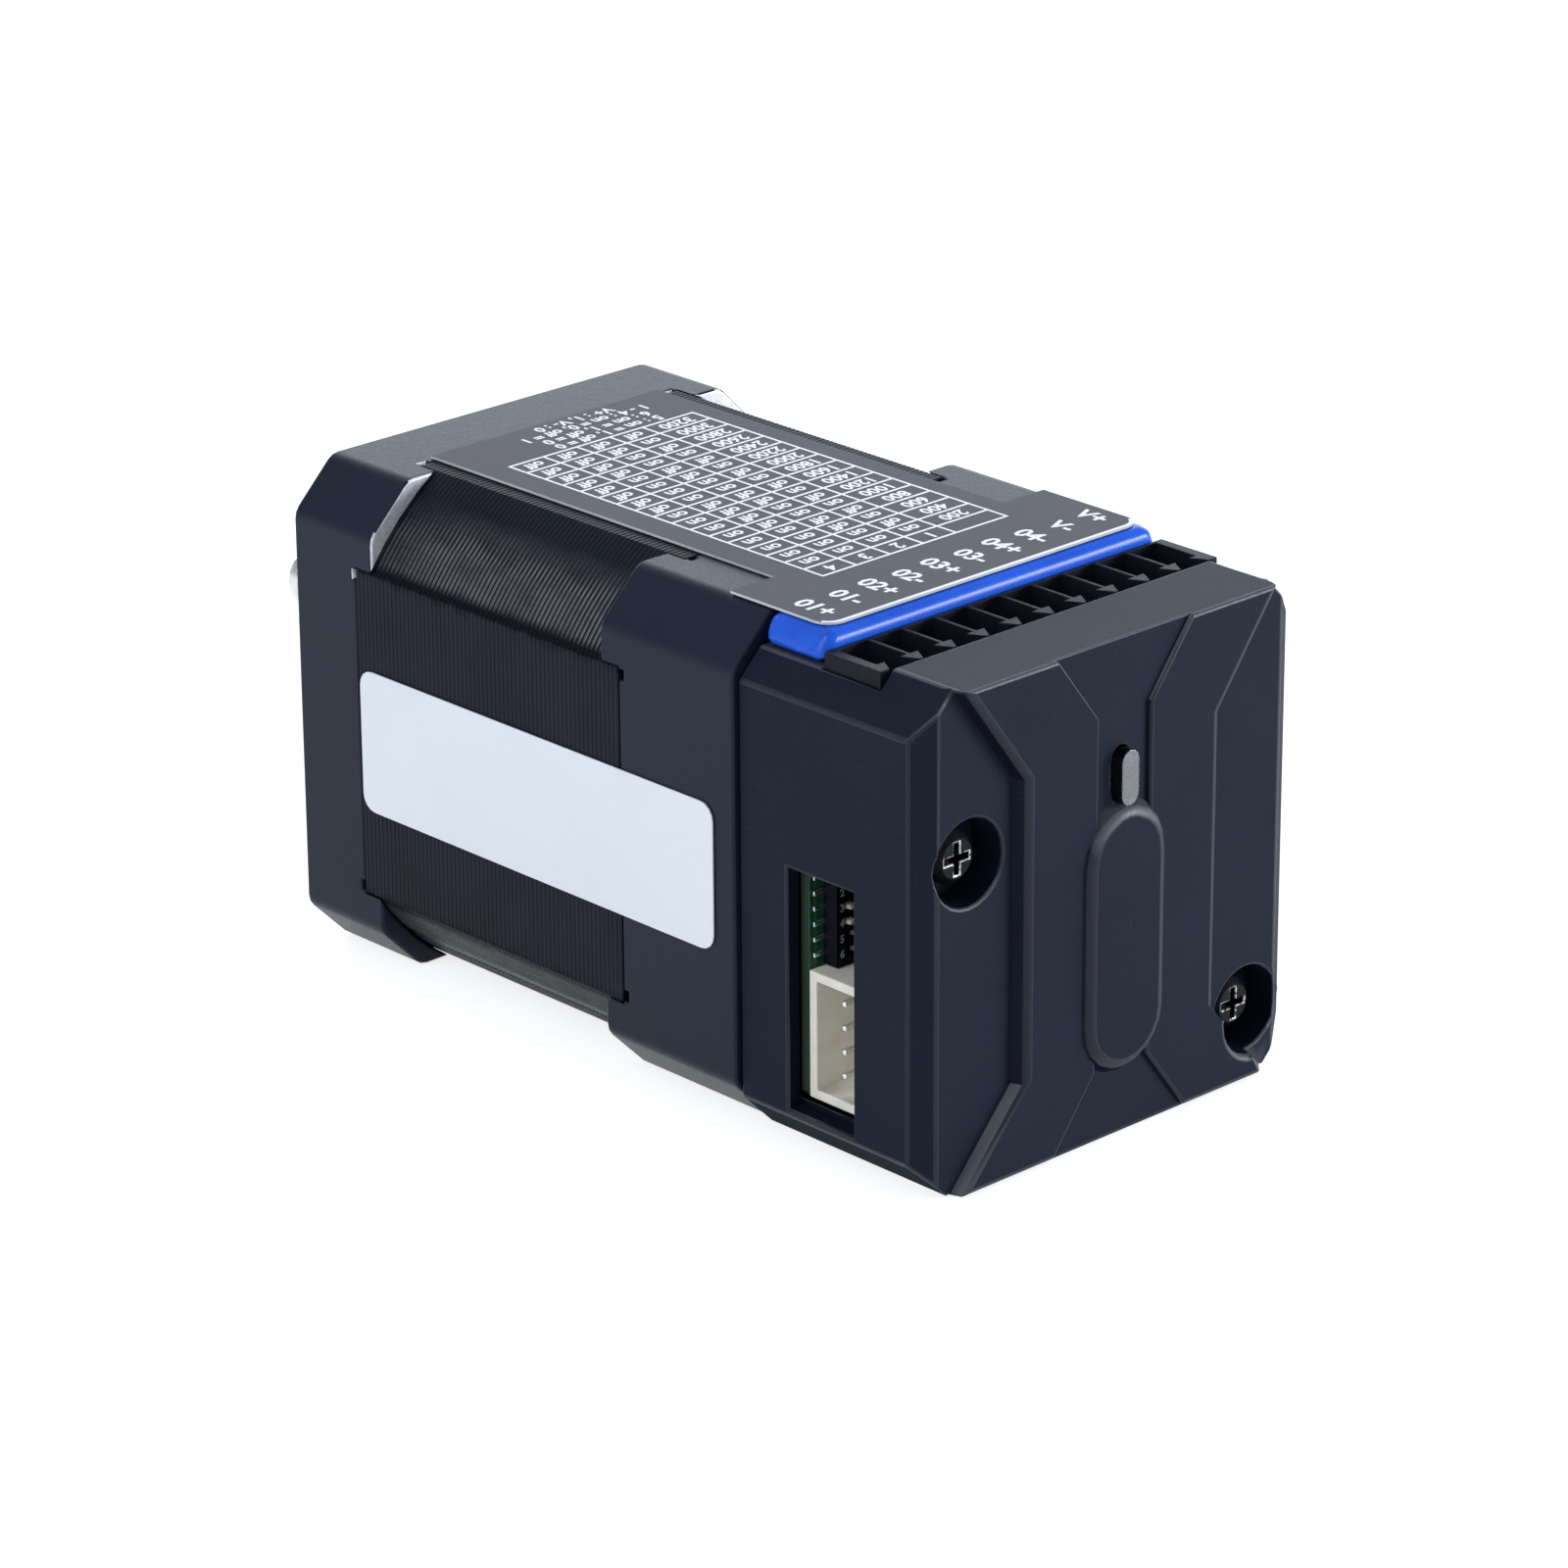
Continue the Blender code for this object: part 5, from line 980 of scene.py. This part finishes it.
def make_numerals():
    """The numbers printed beside the switch's sliders."""
    bm = bmesh.new()
    right = Vector((1, 0, 0))
    back = Vector((0, -1, 0))
    across = SWITCH_LOW.x + LEG_REACH + NUMERAL_INSET
    pitch = (SWITCH_HIGH.z - SWITCH_LOW.z - 2 * SWITCH_MARGIN) / SWITCHES
    for index in range(SWITCHES):
        height = SWITCH_HIGH.z - SWITCH_MARGIN - (index + 0.5) * pitch
        place = Vector((across, SWITCH_LOW.y - INK / 2, height))
        add_word(bm, str(index + 1), NUMERAL_HEIGHT, INK, place, right, back)
    piece_of("switch_numerals", bm, "motor", "label_white", GREY_INK)


# Labels

def make_labels():
    """The top label, lowered by its ink's thickness and with a white rear border, and the side label."""
    black, rim, border = range(3)
    looks = (LABEL_BLACK, LABEL_EDGE, WHITE_INK)

    def lower_and_border(bm):
        for vert in bm.verts:
            if vert.co.z > LABEL_HIGH.z - NEAR:
                vert.co.z = LABEL_HIGH.z - INK
        upper = [face for face in bm.faces if face.normal.z > ALONG]
        bmesh.ops.inset_region(bm, faces=upper, thickness=BORDER, use_even_offset=True)

    def pick(face):
        if abs(face.normal.z) < LEANING:
            return rim
        at_rear = face.calc_center_median().y < LABEL_LOW.y + BORDER_REACH
        return border if face.normal.z > ALONG and at_rear else black

    shell("top_label", "label_black", SHEET_EDGE, looks, SMALL_ROUND, pick, lower_and_border)
    shell("side_label", "label_white", SHEET_EDGE, (LABEL_WHITE,), SMALL_ROUND)


def make_print():
    """White print on the top label: a switch table, notes and terminal numbers, all generic."""
    bm = bmesh.new()
    level = LABEL_HIGH.z - INK
    front = LABEL_HIGH.y - TABLE_FRONT_INSET
    rear = LABEL_LOW.y + TABLE_REAR_INSET
    row = (front - rear) / (TABLE_ROWS + 1)
    switch_width = (TABLE_RIGHT - TABLE_LEFT - TABLE_NUMBERS) / TABLE_COLUMNS
    out = Vector((0, 0, 1))
    left = Vector((-1, 0, 0))
    back = Vector((0, -1, 0))

    def line(x0, y0, x1, y1, top=LABEL_HIGH.z):
        low = Vector((min(x0, x1) - LINE / 2, min(y0, y1) - LINE / 2, level))
        high = Vector((max(x0, x1) + LINE / 2, max(y0, y1) + LINE / 2, top))
        add_block(bm, low, high)

    def put(text, x, y, height, along=left):
        add_word(bm, text, height, INK, Vector((x, y, level + INK / 2)), along, out)

    for index in range(TABLE_ROWS + 2):
        line(TABLE_LEFT, rear + index * row, TABLE_RIGHT, rear + index * row)
    sides = [TABLE_LEFT + index * switch_width for index in range(TABLE_COLUMNS + 1)] + [TABLE_RIGHT]
    for side in sides:
        line(side, rear, side, front, LABEL_HIGH.z - COLUMN_STEP)
    for column in range(TABLE_COLUMNS):
        middle = TABLE_LEFT + (column + 0.5) * switch_width
        put(str(TABLE_COLUMNS - column), middle, rear + row / 2, WORD_HEIGHT)
        for index in range(TABLE_ROWS):
            state = "off" if index >> (TABLE_COLUMNS - 1 - column) & 1 else "on"
            put(state, middle, rear + (index + 1.5) * row, WORD_HEIGHT)
    numbers = TABLE_RIGHT - TABLE_NUMBERS / 2
    for index in range(TABLE_ROWS):
        put(str(TABLE_STEP * (index + 1)), numbers, rear + (index + 1.5) * row, WORD_HEIGHT)
    for index, note in enumerate(NOTES):
        put(note, NOTE_CENTRE, front + (index + NOTE_START) * NOTE_PITCH, NOTE_HEIGHT)
    for index, mark in enumerate(TERMINALS):
        x = (index / (len(TERMINALS) - 1) - 0.5) * TERMINAL_SPREAD
        put(mark, x, LABEL_LOW.y + TERMINAL_INSET, TERMINAL_HEIGHT, back)
    piece_of("label_print", bm, "motor", "label_white", WHITE_INK)


def dress_inside():
    """Finishes for the nodes that keep their own shape."""
    dress(NYLON, "front_insulator", "rear_insulator", "magnet_holder", "status_led")
    dress(WINDING, *COILS)
    dress(SILICON_STEEL, "rotor_front_cup", "rotor_rear_cup")
    dress(SINTERED_MAGNET, "rotor_magnet", "encoder_magnet")
    for end in ("front", "rear"):
        dress(TURNED_STEEL, f"{end}_bearing_outer_ring", f"{end}_bearing_inner_ring")
        dress(BRASS, f"{end}_bearing_balls")
    dress(ZINC_STEEL, "wave_washer", "standoff_screw", "board_standoff")
    dress(BLACK_STEEL, *MOTOR_SCREWS)
    dress(CHIP_BLACK, "encoder_chip", "microcontroller", "motor_driver_chip")
    dress(CAN_ALUMINIUM, "bulk_capacitor")
    dress(LEAD_SLEEVE, *PHASE_LEADS)


# Stage

def floor_mesh():
    """A square floor with a low backdrop round it."""
    bm = bmesh.new()
    bmesh.ops.create_grid(bm, x_segments=1, y_segments=1, size=FLOOR_SIZE / 2)
    rim = bmesh.ops.extrude_edge_only(bm, edges=bm.edges[:])["geom"]
    for part in rim:
        if isinstance(part, bmesh.types.BMVert):
            part.co.z += BACKDROP_HEIGHT
    mesh = bpy.data.meshes.new("floor")
    bm.to_mesh(mesh)
    bm.free()
    return mesh


def floor_material():
    """White to the camera and in reflections, with the object's shadow, and plain and pale otherwise."""
    material = bpy.data.materials.new("floor_white")
    material.use_nodes = True
    tree = material.node_tree
    tree.nodes.clear()
    rays = tree.nodes.new("ShaderNodeLightPath")
    seen = rays.outputs["Is Camera Ray"]
    for name in ("Is Glossy Ray", "Is Transmission Ray"):
        either = tree.nodes.new("ShaderNodeMath")
        either.operation = "MAXIMUM"
        tree.links.new(seen, either.inputs[0])
        tree.links.new(rays.outputs[name], either.inputs[1])
        seen = either.outputs[0]
    plain = tree.nodes.new("ShaderNodeBsdfDiffuse")
    plain.inputs["Color"].default_value = (FLOOR_WHITE, FLOOR_WHITE, FLOOR_WHITE, 1.0)
    shadowed = tree.nodes.new("ShaderNodeBsdfDiffuse")
    share = FLOOR_WHITE * FLOOR_SHADOW_SHARE
    shadowed.inputs["Color"].default_value = (share, share, share, 1.0)
    glow = tree.nodes.new("ShaderNodeEmission")
    glow.inputs["Strength"].default_value = FLOOR_GLOW
    white = tree.nodes.new("ShaderNodeAddShader")
    tree.links.new(shadowed.outputs[0], white.inputs[0])
    tree.links.new(glow.outputs[0], white.inputs[1])
    choose = tree.nodes.new("ShaderNodeMixShader")
    tree.links.new(seen, choose.inputs["Fac"])
    tree.links.new(plain.outputs[0], choose.inputs[1])
    tree.links.new(white.outputs[0], choose.inputs[2])
    output = tree.nodes.new("ShaderNodeOutputMaterial")
    tree.links.new(choose.outputs[0], output.inputs["Surface"])
    return material


def make_floor():
    floor = bpy.data.objects.new("floor", floor_mesh())
    floor.location.z = -FLOOR_GAP
    bpy.context.scene.collection.objects.link(floor)
    floor.data.materials.append(floor_material())


def make_lamp(name, place, size, watts):
    lamp = bpy.data.lights.new(name, "AREA")
    lamp.shape = "RECTANGLE"
    lamp.size, lamp.size_y = size
    lamp.energy = watts
    lamp.color = SKY
    holder = bpy.data.objects.new(name, lamp)
    holder.location = place
    holder.rotation_euler = (TARGET - Vector(place)).to_track_quat("-Z", "Y").to_euler()
    bpy.context.scene.collection.objects.link(holder)


def make_light():
    world = bpy.data.worlds.new("sky")
    world.use_nodes = True
    sky = world.node_tree.nodes["Background"]
    sky.inputs["Color"].default_value = (*SKY, 1.0)
    sky.inputs["Strength"].default_value = SKY_STRENGTH
    bpy.context.scene.world = world
    make_lamp("far_lamp", *FAR_LAMP)
    make_lamp("left_lamp", *LEFT_LAMP)
    make_lamp("upper_lamp", *UPPER_LAMP)
    make_lamp("back_lamp", *BACK_LAMP)


def make_camera():
    flat = math.cos(ELEVATION)
    back = Vector((math.sin(AZIMUTH) * flat, -math.cos(AZIMUTH) * flat, math.sin(ELEVATION)))
    right = Vector((0, 0, 1)).cross(back).normalized()
    up = back.cross(right)
    turned_right = math.cos(ROLL) * right + math.sin(ROLL) * up
    turned_up = math.cos(ROLL) * up - math.sin(ROLL) * right
    data = bpy.data.cameras.new("camera")
    data.lens = LENS
    data.sensor_width = SENSOR
    data.shift_x, data.shift_y = SHIFT
    camera = bpy.data.objects.new("camera", data)
    turn = Matrix((turned_right, turned_up, back)).transposed().to_4x4()
    camera.matrix_world = Matrix.Translation(TARGET + back * DISTANCE) @ turn
    bpy.context.scene.collection.objects.link(camera)
    bpy.context.scene.camera = camera


make_caps()
make_stack()
make_shaft()
make_housing()
make_lens()
make_screws()
make_header()
make_board()
make_switch()
make_connector()
make_numerals()
make_labels()
make_print()
dress_inside()
make_floor()
make_light()
make_camera()
bpy.context.scene.view_settings.view_transform = "Standard"
